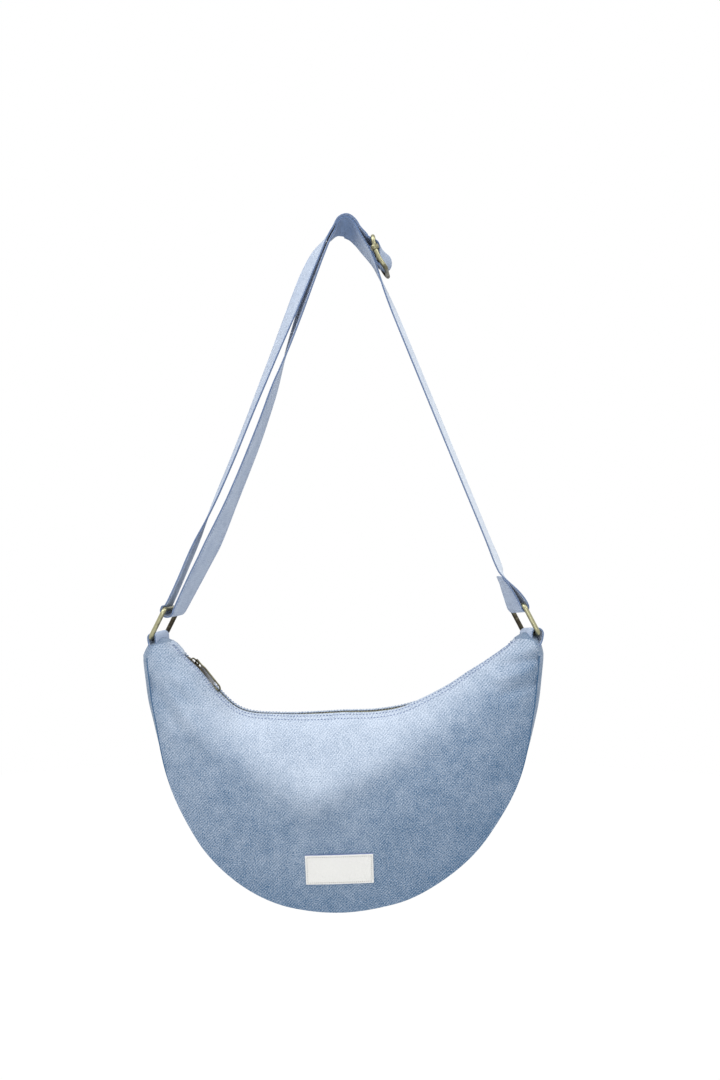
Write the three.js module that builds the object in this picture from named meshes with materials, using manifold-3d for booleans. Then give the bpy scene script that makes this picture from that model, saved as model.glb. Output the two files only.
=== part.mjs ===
// A half-moon zipped denim bag that hangs from its adjustable shoulder strap.
// Millimetres, +Z up, front towards -Y, origin under the top of the strap's arch.
import * as THREE from 'three';
import { mergeVertices } from 'three/addons/utils/BufferGeometryUtils.js';
import Module from 'manifold-3d';

const wasm = await Module();
wasm.setup();

// Driving dimensions of the bag
const BAG_WIDTH = 372;
const BELLY_DROP = 219;
const CORNER_Z = -417.1;
const ZIP_RADIUS = 213;
const ZIP_CENTRE_Z = -250.6;
const HORN_ANGLE = 50;
const MOUTH_HALF_GAP = 5.5;
const BASE_HALF_DEPTH = 38;
const HORN_BULGE = 8;
const BELLY_BULGE = 28;
const CLOTH = 1.5;
const PANEL_ROWS = 14;
const PANEL_COLUMNS = 24;
const SEAT = 0.3;
const HORN_EASE = 0.8;
const NORMAL_STEP = 1e-3;

// Lining: thickness, and the shares of the outline and of the depth that it covers
const LINING = 0.6;
const LINING_EASE = 0.4;
const LINING_ALONG = [0.08, 0.92];
const LINING_DOWN = [0.3, 0.95];
const LINING_GRID = [18, 5];
const LINING_BASE_ALONG = [0.03, 0.97];
const LINING_BASE_GAP = 4;

// Label sewn on the front
const LABEL = { width: 64.5, height: 28.5, x: -1.5, z: -590.4, thick: 0.8, columns: 8, rows: 4 };

// Zip: half angle of the chain, tooth pitch and sizes across and through the chain
const CHAIN_ANGLE = 44;
const TOOTH_PITCH = 2.9;
const TOOTH_TIP = 0.9;
const TOOTH_ROOT = 1.9;
const TOOTH_BACK = 2.9;
const TOOTH_THICK = 2.8;
const TAPE_THICK = 0.7;
const TAPE_ROWS = 2;
const TAPE_COLUMNS = 32;
const TAPE_BEYOND = 2;
const STOP_LENGTH = 2.4;
const END_BEYOND = 1.6;

// Zip slider and its puller
const SLIDER = { length: 12, width: 9.4, taper: 1, plate: 1.5, corner: 2, notch: 2.4 };
const DIVIDER = { length: 2.4, thick: 1 };
const CROWN = { length: 9.2, width: 2, inside: 2.8, thick: 1.2, corner: 1.6 };
const PULLER = { length: 38, width: 8, neck: 5.2, neckEnd: 8, shoulder: 12, thick: 1.4, tilt: 5 };
const PULLER_SLOT = { length: 9, rim: 1.6, eyeGap: 0.4, eyeEase: 1.8 };

// Strap, its metal rings and the adjuster
const STRAP_WIDTH = 38;
const STRAP_THICK = 1.8;
const LAYER_GAP = 0.6;
const TURN_GAP = 0.6;
const RING_EASE = 2;
const ADJUSTER_EASE = 4.5;
const RING = { reach: 29, wire: 4.2, corner: 3, lean: 27, twist: 9, rise: 14.2, outset: 2.3 };
const ADJUSTER = { length: 34, wire: 3.5, corner: 5, x: 27.3, z: -31 };
const COLLAR = { length: 4, wall: 1.1, gap: 0.5 };
const RUN_TWIST = 15;
const TWIST_ZONE = 70;
const LEFT_TWIST_ZONE = 70;
const RING_TWIST_ZONE = 150;
const ARCH_TILT = 17;
const ARCH = { start: [10, -0.8], top: 1, middle: [-9.5, -5], end: [-20, -20], length: 32 };
const TURN_LEG = 22;
const LEG_START = 1;
const FLAP = 42;
const LEFT_BOW = 10;
const PARTING = 9;
const END_LOOP = 24;
const END_OVERRUN = 5.5;
const END_STEP = 3;
const STEPS_PER_POINT = 6;
const TAB_INSIDE = 9;
const TAB_PLACE = 0.46;
const BAND_STEPS = 32;

const WIRE_SIDES = 10;
const RAIL_STEPS = 8;
const TURN_STEPS = 8;
const CORNER_STEPS = 4;
const SEARCH_STEPS = 40;
const rad = THREE.MathUtils.degToRad;
const lerp = THREE.MathUtils.lerp;
const smooth = THREE.MathUtils.smoothstep;
const vec = (x, y, z) => new THREE.Vector3(x, y, z);

// Materials, one for each finish
function finish(color, roughness, metalness) {
  return new THREE.MeshStandardMaterial({ color, roughness, metalness });
}

const denim = () => finish(0x8ca6cb, 0.9, 0);
const cotton = () => finish(0xc9c3b4, 0.95, 0);
const tape = () => finish(0x33466e, 0.85, 0);
const brass = () => finish(0x8f8a62, 0.35, 1);
const label = () => finish(0xeceae4, 0.8, 0);

// Closed bodies are gathered as quads and triangles, then turned to face outwards if need be.
class Body {
  constructor() {
    this.points = [];
    this.faces = [];
  }

  add(point) {
    this.points.push(point);
    return this.points.length - 1;
  }

  quad(a, b, c, d) {
    this.faces.push([a, b, c], [a, c, d]);
  }

  volume() {
    const [p, sum] = [this.points, (total, value) => total + value];
    return this.faces.map(([a, b, c]) => p[a].dot(p[b].clone().cross(p[c]))).reduce(sum, 0);
  }

  geometry() {
    const inward = this.volume() < 0;
    const index = this.faces.flatMap((f) => (inward ? [f[0], f[2], f[1]] : f));
    const geometry = new THREE.BufferGeometry();
    const places = this.points.flatMap((p) => p.toArray());
    geometry.setAttribute('position', new THREE.Float32BufferAttribute(places, 3));
    geometry.setIndex(index);
    geometry.computeVertexNormals();
    return geometry;
  }
}

// A profile carried through sections of equal count, capped at both ends or closed on itself.
function sweep(sections, ring = false) {
  const body = new Body();
  const rows = sections.map((section) => section.map((point) => body.add(point)));
  const sides = rows[0].length;
  const last = ring ? rows.length : rows.length - 1;
  for (let i = 0; i < last; i++) {
    const [here, next] = [rows[i], rows[(i + 1) % rows.length]];
    for (let j = 0; j < sides; j++) {
      const k = (j + 1) % sides;
      body.quad(here[j], next[j], next[k], here[k]);
    }
  }
  if (!ring) {
    for (let j = 1; j < sides - 1; j++) {
      body.faces.push([rows[0][0], rows[0][j], rows[0][j + 1]]);
      body.faces.push([rows.at(-1)[0], rows.at(-1)[j + 1], rows.at(-1)[j]]);
    }
  }
  return body.geometry();
}

// A sheet of cloth between two grids of the same size, closed round its border.
function sheet(upper, lower) {
  const body = new Body();
  const top = upper.map((row) => row.map((point) => body.add(point)));
  const under = lower.map((row) => row.map((point) => body.add(point)));
  const [m, n] = [top.length - 1, top[0].length - 1];
  for (let i = 0; i < m; i++) {
    for (let j = 0; j < n; j++) {
      body.quad(top[i][j], top[i + 1][j], top[i + 1][j + 1], top[i][j + 1]);
      body.quad(under[i][j], under[i][j + 1], under[i + 1][j + 1], under[i + 1][j]);
    }
    body.quad(top[i][0], under[i][0], under[i + 1][0], top[i + 1][0]);
    body.quad(top[i][n], top[i + 1][n], under[i + 1][n], under[i][n]);
  }
  for (let j = 0; j < n; j++) {
    body.quad(top[0][j], top[0][j + 1], under[0][j + 1], under[0][j]);
    body.quad(top[m][j], under[m][j], under[m][j + 1], top[m][j + 1]);
  }
  return body.geometry();
}

function solidOf(geometry) {
  const bare = geometry.clone();
  bare.deleteAttribute('normal');
  bare.deleteAttribute('uv');
  const merged = mergeVertices(bare, 1e-4);
  const vertProperties = new Float32Array(merged.attributes.position.array);
  const triVerts = new Uint32Array(merged.index.array);
  return new wasm.Manifold(new wasm.Mesh({ numProp: 3, vertProperties, triVerts }));
}

function geometryOf(solid) {
  const mesh = solid.getMesh();
  const geometry = new THREE.BufferGeometry();
  geometry.setAttribute('position', new THREE.BufferAttribute(new Float32Array(mesh.vertProperties), 3));
  geometry.setIndex(new THREE.BufferAttribute(new Uint32Array(mesh.triVerts), 1));
  geometry.computeVertexNormals();
  return geometry;
}

const joined = (...geometries) => geometryOf(geometries.map(solidOf).reduce((sum, next) => sum.add(next)));

const bag = new THREE.Group();

function place(name, geometry, material, parent = bag) {
  const mesh = new THREE.Mesh(geometry, material);
  mesh.name = name;
  parent.add(mesh);
  return mesh;
}

// Outline of the bag in the XZ plane: u runs along it from the left horn to the right one.
const halfWidth = BAG_WIDTH / 2;
const zipAngle = (u) => rad(lerp(-HORN_ANGLE, HORN_ANGLE, u));

function mouthPoint(u) {
  const angle = zipAngle(u);
  return [ZIP_RADIUS * Math.sin(angle), ZIP_CENTRE_Z - ZIP_RADIUS * Math.cos(angle)];
}

function basePoint(u) {
  const angle = Math.PI * (1 + u);
  return [halfWidth * Math.cos(angle), CORNER_Z + BELLY_DROP * Math.sin(angle)];
}

// Each tab is folded round its ring's lower bar, and stands a little turned in the open edge of the horn.
const tabLayer = RING.wire / 2 + TURN_GAP + STRAP_THICK / 2;
const tabHalf = tabLayer + STRAP_THICK / 2;
const tabSkew = Math.sin(rad(RING.twist)) * STRAP_WIDTH / 2;
const tabReach = Math.cos(rad(RING.twist)) * STRAP_WIDTH / 2 + Math.sin(rad(RING.twist)) * tabHalf;
const hornEdge = Math.hypot(...mouthPoint(0).map((value, i) => value - basePoint(0)[i]));
const edgeV = (drop) => Math.sqrt(drop / hornEdge);
const hornRun = mouthPoint(0)[0] - basePoint(0)[0];
const tabTop = hornEdge * (TAB_PLACE - (tabHalf + tabSkew - RING.outset) / hornRun);

// The horn is as deep as the upper corner of its tab needs.
const rise = (v) => (v > 0 ? Math.sin(Math.PI * v ** 1.3) : 0);
const tabRoom = tabReach + CLOTH + HORN_EASE - MOUTH_HALF_GAP - HORN_BULGE * rise(edgeV(tabTop));
const hornHalfDepth = MOUTH_HALF_GAP + tabRoom / edgeV(tabTop);

// Half depth of the bag: v runs from the mouth down to the base.
function halfDepth(u, v) {
  const belly = Math.sin(Math.PI * THREE.MathUtils.clamp(u, 0, 1));
  const base = lerp(hornHalfDepth, BASE_HALF_DEPTH, belly);
  const swell = lerp(HORN_BULGE, BELLY_BULGE, belly);
  return MOUTH_HALF_GAP + (base - MOUTH_HALF_GAP) * v + swell * rise(v);
}

// A point of the panel's outer face. The face starts level beside the zip and turns down.
function panelPoint(u, v, side) {
  const [mouth, base] = [mouthPoint(u), basePoint(u)];
  const drop = v * v;
  return vec(lerp(mouth[0], base[0], drop), side * halfDepth(u, v), lerp(mouth[1], base[1], drop));
}

function panelNormal(u, v, side) {
  const [u0, v0] = [Math.min(Math.max(u, NORMAL_STEP), 1 - NORMAL_STEP), Math.max(v, NORMAL_STEP)];
  const along = panelPoint(u0 + NORMAL_STEP, v0, side).sub(panelPoint(u0 - NORMAL_STEP, v0, side));
  const down = panelPoint(u0, v0 + NORMAL_STEP, side).sub(panelPoint(u0, v0 - NORMAL_STEP, side));
  return along.cross(down).multiplyScalar(-side).normalize();
}

// A sheet of cloth that follows the panel, between two depths measured inwards from its outer face.
function panelSheet(side, uRange, vRange, depths, steps) {
  const grid = (depth) => Array.from({ length: steps[0] + 1 }, (_, i) =>
    Array.from({ length: steps[1] + 1 }, (_, j) => {
      const u = lerp(...uRange, i / steps[0]);
      const v = lerp(...vRange, j / steps[1]);
      return panelPoint(u, v, side).addScaledVector(panelNormal(u, v, side), depth);
    }));
  return sheet(grid(depths[0]), grid(depths[1]));
}

const FRONT = -1;
const BACK = 1;
const tapeDepth = CLOTH + SEAT;
const liningDepth = tapeDepth + LINING_EASE;
const faces = [['front', FRONT], ['back', BACK]];

for (const [word, side] of faces) {
  place(`${word}_panel`, panelSheet(side, [0, 1], [0, 1], [0, CLOTH], [PANEL_COLUMNS, PANEL_ROWS]), denim());
  const liningDepths = [liningDepth, liningDepth + LINING];
  const lining = panelSheet(side, LINING_ALONG, LINING_DOWN, liningDepths, LINING_GRID);
  place(`lining_${word}`, lining, cotton());
}

// A flat strip of cloth along a route in the XZ plane; turn says on which hand of the route its inside lies.
function strip(route, turn, reaches, inset, thick) {
  const last = route.length - 1;
  const sections = route.map((here, i) => {
    const along = route[Math.min(i + 1, last)].clone().sub(route[Math.max(i - 1, 0)]);
    const inward = vec(-turn * along.z, 0, turn * along.x).normalize();
    const [reach, inner] = [reaches[i], inset + thick];
    const corner = (y, depth) => vec(here.x, y, here.z).addScaledVector(inward, depth);
    return [corner(-reach, inset), corner(reach, inset), corner(reach, inner), corner(-reach, inner)];
  });
  return sweep(sections);
}

// The base band runs from horn to horn round the bottom, between the two panels.
function band(ends, inset, thick, sideGap) {
  const pointAt = (i) => panelPoint(lerp(...ends, i / BAND_STEPS), 1, BACK);
  const route = Array.from({ length: BAND_STEPS + 1 }, (_, i) => pointAt(i));
  return strip(route, 1, route.map((point) => point.y - sideGap), inset, thick);
}

const bandSide = CLOTH + SEAT;
place('base_band', band([0, 1], 0, CLOTH, bandSide), denim());
const liningSide = liningDepth + LINING + LINING_BASE_GAP;
place('lining_base', band(LINING_BASE_ALONG, tapeDepth, LINING, liningSide), cotton());

// Depth of the front face at a place in the XZ plane, by halving the range of u.
function frontAt(x, z) {
  let [low, high] = [0, 1];
  let v = 0;
  for (let i = 0; i < SEARCH_STEPS; i++) {
    const u = (low + high) / 2;
    const [mouth, base] = [mouthPoint(u), basePoint(u)];
    v = Math.sqrt(THREE.MathUtils.clamp((z - mouth[1]) / (base[1] - mouth[1]), 0, 1));
    const here = lerp(mouth[0], base[0], v * v);
    [low, high] = here < x ? [u, high] : [low, u];
  }
  return [low, v];
}

function labelSheet() {
  const pointAt = (i, j, depth) => {
    const x = LABEL.x + LABEL.width * (i / LABEL.columns - 0.5);
    const z = LABEL.z + LABEL.height * (0.5 - j / LABEL.rows);
    const [u, v] = frontAt(x, z);
    return panelPoint(u, v, FRONT).addScaledVector(panelNormal(u, v, FRONT), -depth);
  };
  const row = (i, depth) => Array.from({ length: LABEL.rows + 1 }, (_, j) => pointAt(i, j, depth));
  const grid = (depth) => Array.from({ length: LABEL.columns + 1 }, (_, i) => row(i, depth));
  return sheet(grid(SEAT + LABEL.thick), grid(SEAT));
}

place('label_patch', labelSheet(), label());

// The zip lies on a cylinder about the Y axis; depth is measured outwards from its radius.
function zipPoint(angle, y, depth) {
  const radius = ZIP_RADIUS + depth;
  return vec(radius * Math.sin(angle), y, ZIP_CENTRE_Z - radius * Math.cos(angle));
}

const tapeMiddle = tapeDepth + TAPE_THICK / 2;
const toothTop = tapeMiddle - TOOTH_THICK / 2;
const toothUnder = tapeMiddle + TOOTH_THICK / 2;
const chainHalf = rad(CHAIN_ANGLE);
const toothAngle = TOOTH_PITCH / ZIP_RADIUS;
const toothCount = Math.floor((2 * chainHalf) / toothAngle);

// One row of teeth on its bead: the edge towards the middle rises to a flat tip at each tooth.
function teeth(side) {
  const start = -toothCount * toothAngle / 2;
  const shift = side === FRONT ? 0 : 0.5;
  const sections = [];
  const cut = (turns, edge) => {
    const angle = start + THREE.MathUtils.clamp(turns, 0, toothCount) * toothAngle;
    const corner = (y, depth) => zipPoint(angle, side * y, depth);
    sections.push([corner(edge, toothTop), corner(TOOTH_BACK, toothTop),
      corner(TOOTH_BACK, toothUnder), corner(edge, toothUnder)]);
  };
  cut(0, TOOTH_ROOT);
  for (let i = 0; i < toothCount - 1; i++) {
    cut(i + shift + 0.25, TOOTH_TIP);
    cut(i + shift + 0.7, TOOTH_TIP);
    cut(i + shift + 0.98, TOOTH_ROOT);
  }
  cut(toothCount, TOOTH_ROOT);
  return sweep(sections);
}

// Each tape runs from just short of its teeth to some way under the panel.
const tapeEnd = (CHAIN_ANGLE + TAPE_BEYOND) / HORN_ANGLE / 2;

function zipTape(side) {
  const grid = (depth) => Array.from({ length: TAPE_COLUMNS + 1 }, (_, i) => {
    const u = lerp(0.5 - tapeEnd, 0.5 + tapeEnd, i / TAPE_COLUMNS);
    const inner = zipPoint(zipAngle(u), side * (TOOTH_BACK + SEAT), depth);
    const under = Array.from({ length: TAPE_ROWS + 1 }, (_, j) =>
      panelPoint(u, j / PANEL_ROWS, side).addScaledVector(panelNormal(u, j / PANEL_ROWS, side), depth));
    return [inner, ...under];
  });
  return sheet(grid(tapeDepth), grid(tapeDepth + TAPE_THICK));
}

for (const [word, side] of faces) {
  place(`zip_teeth_${word}`, teeth(side), brass());
  place(`zip_tape_${word}`, zipTape(side), tape());
}

// A folded metal stop beyond each end of the chain, between the two tapes.
function zipStop(sign) {
  const angleAt = (gap) => sign * (toothCount * toothAngle / 2 + gap / ZIP_RADIUS);
  const section = (angle) => [[-1, toothTop], [1, toothTop], [1, toothUnder], [-1, toothUnder]]
    .map(([y, depth]) => zipPoint(angle, y * TOOTH_BACK, depth));
  return sweep([section(angleAt(SEAT)), section(angleAt(SEAT + STOP_LENGTH))]);
}

// A folded strip of cloth closes the mouth between the end of the zip and the tip of the horn.
function zipEnd(sign) {
  const first = 0.5 + sign * (CHAIN_ANGLE + END_BEYOND) / HORN_ANGLE / 2;
  const last = (1 + sign) / 2;
  const route = [0, 0.5, 1].map((share) => panelPoint(lerp(first, last, share), 0, BACK));
  return strip(route, -sign, route.map((point) => point.y - 2 * SEAT), 0, CLOTH - SEAT);
}

for (const [word, sign] of [['left', -1], ['right', 1]]) {
  place(`zip_stop_${word}`, zipStop(sign), brass());
  place(`zip_end_${word}`, zipEnd(sign), denim());
}

// The slider group turns about the zip's axis: its local X runs along the chain, local Z away from the bag.
const sliderHalf = SLIDER.length / 2;
const sliderRest = -(toothCount * toothAngle / 2 - (sliderHalf + 2 * SEAT) / ZIP_RADIUS);
const slider = new THREE.Group();
slider.position.copy(zipPoint(sliderRest, 0, 0));
slider.rotation.y = -sliderRest;
bag.add(slider);

// Wings of the slider: wide at the divider end, where the tapes part, and narrow at the other.
function sliderPlate(z, thick) {
  const [half, wide, bend] = [sliderHalf, SLIDER.width / 2, SLIDER.corner];
  const narrow = wide - SLIDER.taper;
  const outline = new THREE.Shape();
  outline.moveTo(-half + bend, -wide);
  outline.lineTo(half - bend, -narrow);
  outline.quadraticCurveTo(half, -narrow, half, -narrow + bend);
  outline.lineTo(half, narrow - bend);
  outline.quadraticCurveTo(half, narrow, half - bend, narrow);
  outline.lineTo(-half + bend, wide);
  outline.quadraticCurveTo(-half, wide, -half, wide - bend);
  outline.quadraticCurveTo(-half + SLIDER.notch, 0, -half, -wide + bend);
  outline.quadraticCurveTo(-half, -wide, -half + bend, -wide);
  const plate = new THREE.ExtrudeGeometry(outline, { depth: thick, bevelEnabled: false, curveSegments: 5 });
  return plate.translate(0, 0, z);
}

const plateTop = SLIDER.plate - toothTop + SEAT;
const upperPlate = sliderPlate(-toothTop + SEAT, SLIDER.plate);
const lowerPlate = sliderPlate(-toothUnder - SEAT - SLIDER.plate, SLIDER.plate);
const dividerTall = TOOTH_THICK + 2 * SEAT + SLIDER.plate;
const divider = new THREE.BoxGeometry(DIVIDER.length, DIVIDER.thick, dividerTall);
divider.translate(-sliderHalf + SLIDER.notch / 2 + DIVIDER.length / 2 + SEAT, 0, -tapeMiddle);
place('zip_slider', joined(upperPlate, lowerPlate, divider), brass(), slider);

// The crown is a low arch on the slider that the puller's eye hangs on.
function crownArch() {
  const [half, thick, bend] = [CROWN.length / 2, CROWN.thick, CROWN.corner];
  const top = CROWN.inside + thick;
  const outline = new THREE.Shape();
  outline.moveTo(-half, 0);
  outline.lineTo(-half, top - bend);
  outline.quadraticCurveTo(-half, top, -half + bend, top);
  outline.lineTo(half - bend, top);
  outline.quadraticCurveTo(half, top, half, top - bend);
  outline.lineTo(half, 0);
  outline.lineTo(half - thick, 0);
  outline.lineTo(half - thick, top - thick);
  outline.lineTo(-half + thick, top - thick);
  outline.lineTo(-half + thick, 0);
  const depth = CROWN.width;
  const arch = new THREE.ExtrudeGeometry(outline, { depth, bevelEnabled: false, curveSegments: 3 });
  return arch.translate(0, 0, -CROWN.width / 2).rotateX(Math.PI / 2);
}

const crown = place('slider_crown', crownArch(), brass(), slider);
crown.position.z = plateTop + SEAT;

// Puller: an eye round the crown, a tapered shank and a long slot at the free end.
function pullerPlate() {
  const [end, wide, neck, eye] = [PULLER.length, PULLER.width / 2, PULLER.neck / 2, PULLER.thick / 2];
  const outline = new THREE.Shape();
  outline.moveTo(-eye, -neck);
  outline.lineTo(PULLER.neckEnd, -neck);
  outline.lineTo(PULLER.shoulder, -wide);
  outline.lineTo(end - wide, -wide);
  outline.absarc(end - wide, 0, wide, -Math.PI / 2, Math.PI / 2, false);
  outline.lineTo(PULLER.shoulder, wide);
  outline.lineTo(PULLER.neckEnd, neck);
  outline.lineTo(-eye, neck);
  const eyeSlot = new THREE.Path();
  const [eyeHalf, eyeEnd] = [CROWN.width / 2 + PULLER_SLOT.eyeGap, CROWN.length / 2 + PULLER_SLOT.eyeEase];
  eyeSlot.moveTo(eye, -eyeHalf);
  eyeSlot.lineTo(eye, eyeHalf);
  eyeSlot.lineTo(eyeEnd, eyeHalf);
  eyeSlot.lineTo(eyeEnd, -eyeHalf);
  const endSlot = new THREE.Path();
  const [slotStart, slotHalf] = [end - PULLER_SLOT.length, wide - PULLER_SLOT.rim];
  endSlot.moveTo(slotStart, -slotHalf);
  endSlot.lineTo(slotStart, slotHalf);
  endSlot.lineTo(end - wide, slotHalf);
  endSlot.absarc(end - wide, 0, slotHalf, Math.PI / 2, -Math.PI / 2, true);
  outline.holes.push(eyeSlot, endSlot);
  const depth = PULLER.thick;
  const plate = new THREE.ExtrudeGeometry(outline, { depth, bevelEnabled: false, curveSegments: 8 });
  return plate.translate(0, 0, -PULLER.thick / 2);
}

const puller = place('zip_puller', pullerPlate(), brass(), slider);
puller.position.z = plateTop + SEAT + CROWN.inside / 2;
puller.rotation.y = -rad(PULLER.tilt);

// A round wire carried along a closed path, with its profile held square to the path.
function wireLoop(path, across, radius) {
  const count = path.length;
  const sections = path.map((here, i) => {
    const along = path[(i + 1) % count].clone().sub(path[(i - 1 + count) % count]).normalize();
    const side = across.clone().addScaledVector(along, -across.dot(along)).normalize();
    const other = along.clone().cross(side);
    return Array.from({ length: WIRE_SIDES }, (_, k) => {
      const turn = (2 * Math.PI * (k + 0.5)) / WIRE_SIDES;
      const [c, s] = [radius * Math.cos(turn), radius * Math.sin(turn)];
      return here.clone().addScaledVector(side, c).addScaledVector(other, s);
    });
  });
  return sweep(sections, true);
}

// A rounded rectangle in the local YZ plane, as points of its centre line; lift bows its rails along X.
function roundedLoop(wide, tall, corner, railSteps = 1, lift = () => 0) {
  const points = [];
  const [y, z] = [wide / 2 - corner, tall / 2 - corner];
  const corners = [[y, z, 0], [-y, z, 90], [-y, -z, 180], [y, -z, 270]];
  for (const [cy, cz, from] of corners) {
    for (let k = 0; k <= CORNER_STEPS; k++) {
      const turn = rad(from + 90 * k / CORNER_STEPS);
      points.push([cy + corner * Math.cos(turn), cz + corner * Math.sin(turn)]);
    }
    const rail = from % 180 === 90;
    for (let k = 1; rail && k < railSteps; k++) {
      points.push([Math.sign(cy) * wide / 2, lerp(cz, -cz, k / railSteps)]);
    }
  }
  return points.map(([py, pz]) => vec(lift(pz), py, pz));
}

// Each ring stands on its tab: its lower bar is the swing axis, and it leans towards the strap's arch.
const ringWide = STRAP_WIDTH + RING_EASE + RING.wire;
const tabSeat = panelPoint(0, edgeV(TAB_PLACE * hornEdge), FRONT);
const ringX = RING.outset - tabSeat.x;
const ringZ = tabSeat.z + RING.rise;
const sides = [['left', -1], ['right', 1]];
const ringFrames = {};

for (const [word, sign] of sides) {
  const hinge = new THREE.Group();
  hinge.position.set(sign * ringX, 0, ringZ);
  hinge.rotation.z = sign * rad(RING.twist);
  bag.add(hinge);
  const lean = new THREE.Group();
  lean.rotation.y = -sign * rad(RING.lean);
  hinge.add(lean);
  const loop = roundedLoop(ringWide, RING.reach, RING.corner).map((p) => p.setZ(p.z + RING.reach / 2));
  place(`${word}_ring`, wireLoop(loop, vec(1, 0, 0), RING.wire / 2), brass(), lean);
  place(`${word}_tab`, ringTab(), denim(), hinge);
  bag.updateMatrixWorld(true);
  const bar = vec(0, 0, RING.reach).applyMatrix4(lean.matrixWorld);
  const across = vec(0, 1, 0).transformDirection(lean.matrixWorld);
  ringFrames[word] = { bar, across };
}

// A flat webbing carried along points, each with its own direction across the webbing.
function webbing(points, across) {
  const sections = points.map((here, i) => {
    const next = points[Math.min(i + 1, points.length - 1)];
    const along = next.clone().sub(points[Math.max(i - 1, 0)]).normalize();
    const side = across[i].clone().addScaledVector(along, -across[i].dot(along)).normalize();
    const out = side.clone().cross(along);
    const edge = (a) => here.clone().addScaledVector(side, a * STRAP_WIDTH / 2);
    const corner = (a, b) => edge(a).addScaledVector(out, b * STRAP_THICK / 2);
    return [corner(-1, -1), corner(1, -1), corner(1, 1), corner(-1, 1)];
  });
  return sweep(sections);
}

// The tab comes up out of the horn, goes over the ring's lower bar and back down.
function ringTab() {
  const depth = RING.rise + TAB_INSIDE;
  const points = [vec(-tabLayer, 0, -depth), vec(-tabLayer, 0, -depth / 2)];
  for (let k = 0; k <= TURN_STEPS; k++) {
    const turn = Math.PI * (1 - k / TURN_STEPS);
    points.push(vec(tabLayer * Math.cos(turn), 0, tabLayer * Math.sin(turn)));
  }
  points.push(vec(tabLayer, 0, -depth / 2), vec(tabLayer, 0, -depth));
  return webbing(points, points.map(() => vec(0, 1, 0)));
}

// The strap runs from the right ring up through the adjuster, over the arch and down to the left ring.
const runAcross = vec(Math.sin(rad(RUN_TWIST)), Math.cos(rad(RUN_TWIST)), 0);
const leftAcross = vec(-Math.sin(rad(RUN_TWIST)), Math.cos(rad(RUN_TWIST)), 0);
const archAcross = vec(0, Math.cos(rad(ARCH_TILT)), -Math.sin(rad(ARCH_TILT)));
const turnLayer = RING.wire / 2 + TURN_GAP + STRAP_THICK / 2;
const layerStep = STRAP_THICK + LAYER_GAP;
const adjusterAt = vec(ADJUSTER.x, 0, ADJUSTER.z);
const rightBar = ringFrames.right.bar;
const leftBar = ringFrames.left.bar;
const runUp = adjusterAt.clone().sub(rightBar).normalize();
const runOut = ringFrames.right.across.clone().cross(runUp).normalize();
const archLeft = vec(ARCH.end[0], 0, ARCH.end[1]);
const leftUp = archLeft.clone().sub(leftBar).normalize();
const leftOut = leftUp.clone().cross(ringFrames.left.across).normalize();
function beside(point, up, rise, out, shift) {
  return point.clone().addScaledVector(up, rise).addScaledVector(out, shift);
}

const runStart = beside(rightBar, runUp, FLAP + SEAT, runOut, layerStep / 2);
const runEnd = beside(adjusterAt, runUp, END_LOOP + END_OVERRUN, runOut, layerStep / 2);
const turnTop = beside(leftBar, leftUp, TURN_LEG + SEAT, leftOut, -turnLayer);

// Rounded top of the arch, then the long inner run down the left side with a slight inward bow.
const archTop = vec(ARCH.top, 0, STRAP_THICK / 2);
const leftBow = (share) => -LEFT_BOW * Math.sin(Math.PI * share) * share;
const leftRun = [0.2, 0.4, 0.6, 0.8].map((share) =>
  archLeft.clone().lerp(turnTop, share).addScaledVector(leftOut, leftBow(share)));
const rightRun = [0, 0.25, 0.5, 0.75, 0.9, 0.97, 1].map((share) => runStart.clone().lerp(runEnd, share));
const archStart = vec(ARCH.start[0], 0, ARCH.start[1]);
const archMiddle = vec(ARCH.middle[0], 0, ARCH.middle[1]);
const arch = [archStart, archTop, archMiddle, archLeft];
const routePoints = [...rightRun, ...arch, ...leftRun, turnTop];
const routeSteps = (routePoints.length - 1) * STEPS_PER_POINT;
const route = new THREE.CatmullRomCurve3(routePoints, false, 'centripetal').getPoints(routeSteps);
const travelled = [0];
for (let i = 1; i <= routeSteps; i++) {
  travelled.push(travelled[i - 1] + route[i].distanceTo(route[i - 1]));
}
const routeLength = travelled.at(-1);
const runSpan = runStart.distanceTo(runEnd);
const archSpan = runSpan + ARCH.length;

// Direction across the webbing at a distance along the route: it twists at both rings and dips at the arch.
function acrossAt(distance) {
  const lower = 1 - smooth(distance, 0, TWIST_ZONE);
  const dip = smooth(distance, runSpan, archSpan);
  const left = smooth(distance, archSpan, archSpan + LEFT_TWIST_ZONE);
  const end = smooth(distance, routeLength - RING_TWIST_ZONE, routeLength);
  const upper = runAcross.clone().lerp(archAcross, dip).lerp(leftAcross, left);
  return upper.lerp(ringFrames.right.across, lower).lerp(ringFrames.left.across, end).normalize();
}

const routeAcross = travelled.map(acrossAt);
place('strap_long_run', webbing(route, routeAcross), denim());

function outwardAt(i) {
  const along = route[Math.min(i + 1, routeSteps)].clone().sub(route[Math.max(i - 1, 0)]).normalize();
  return routeAcross[i].clone().cross(along).normalize();
}

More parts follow.
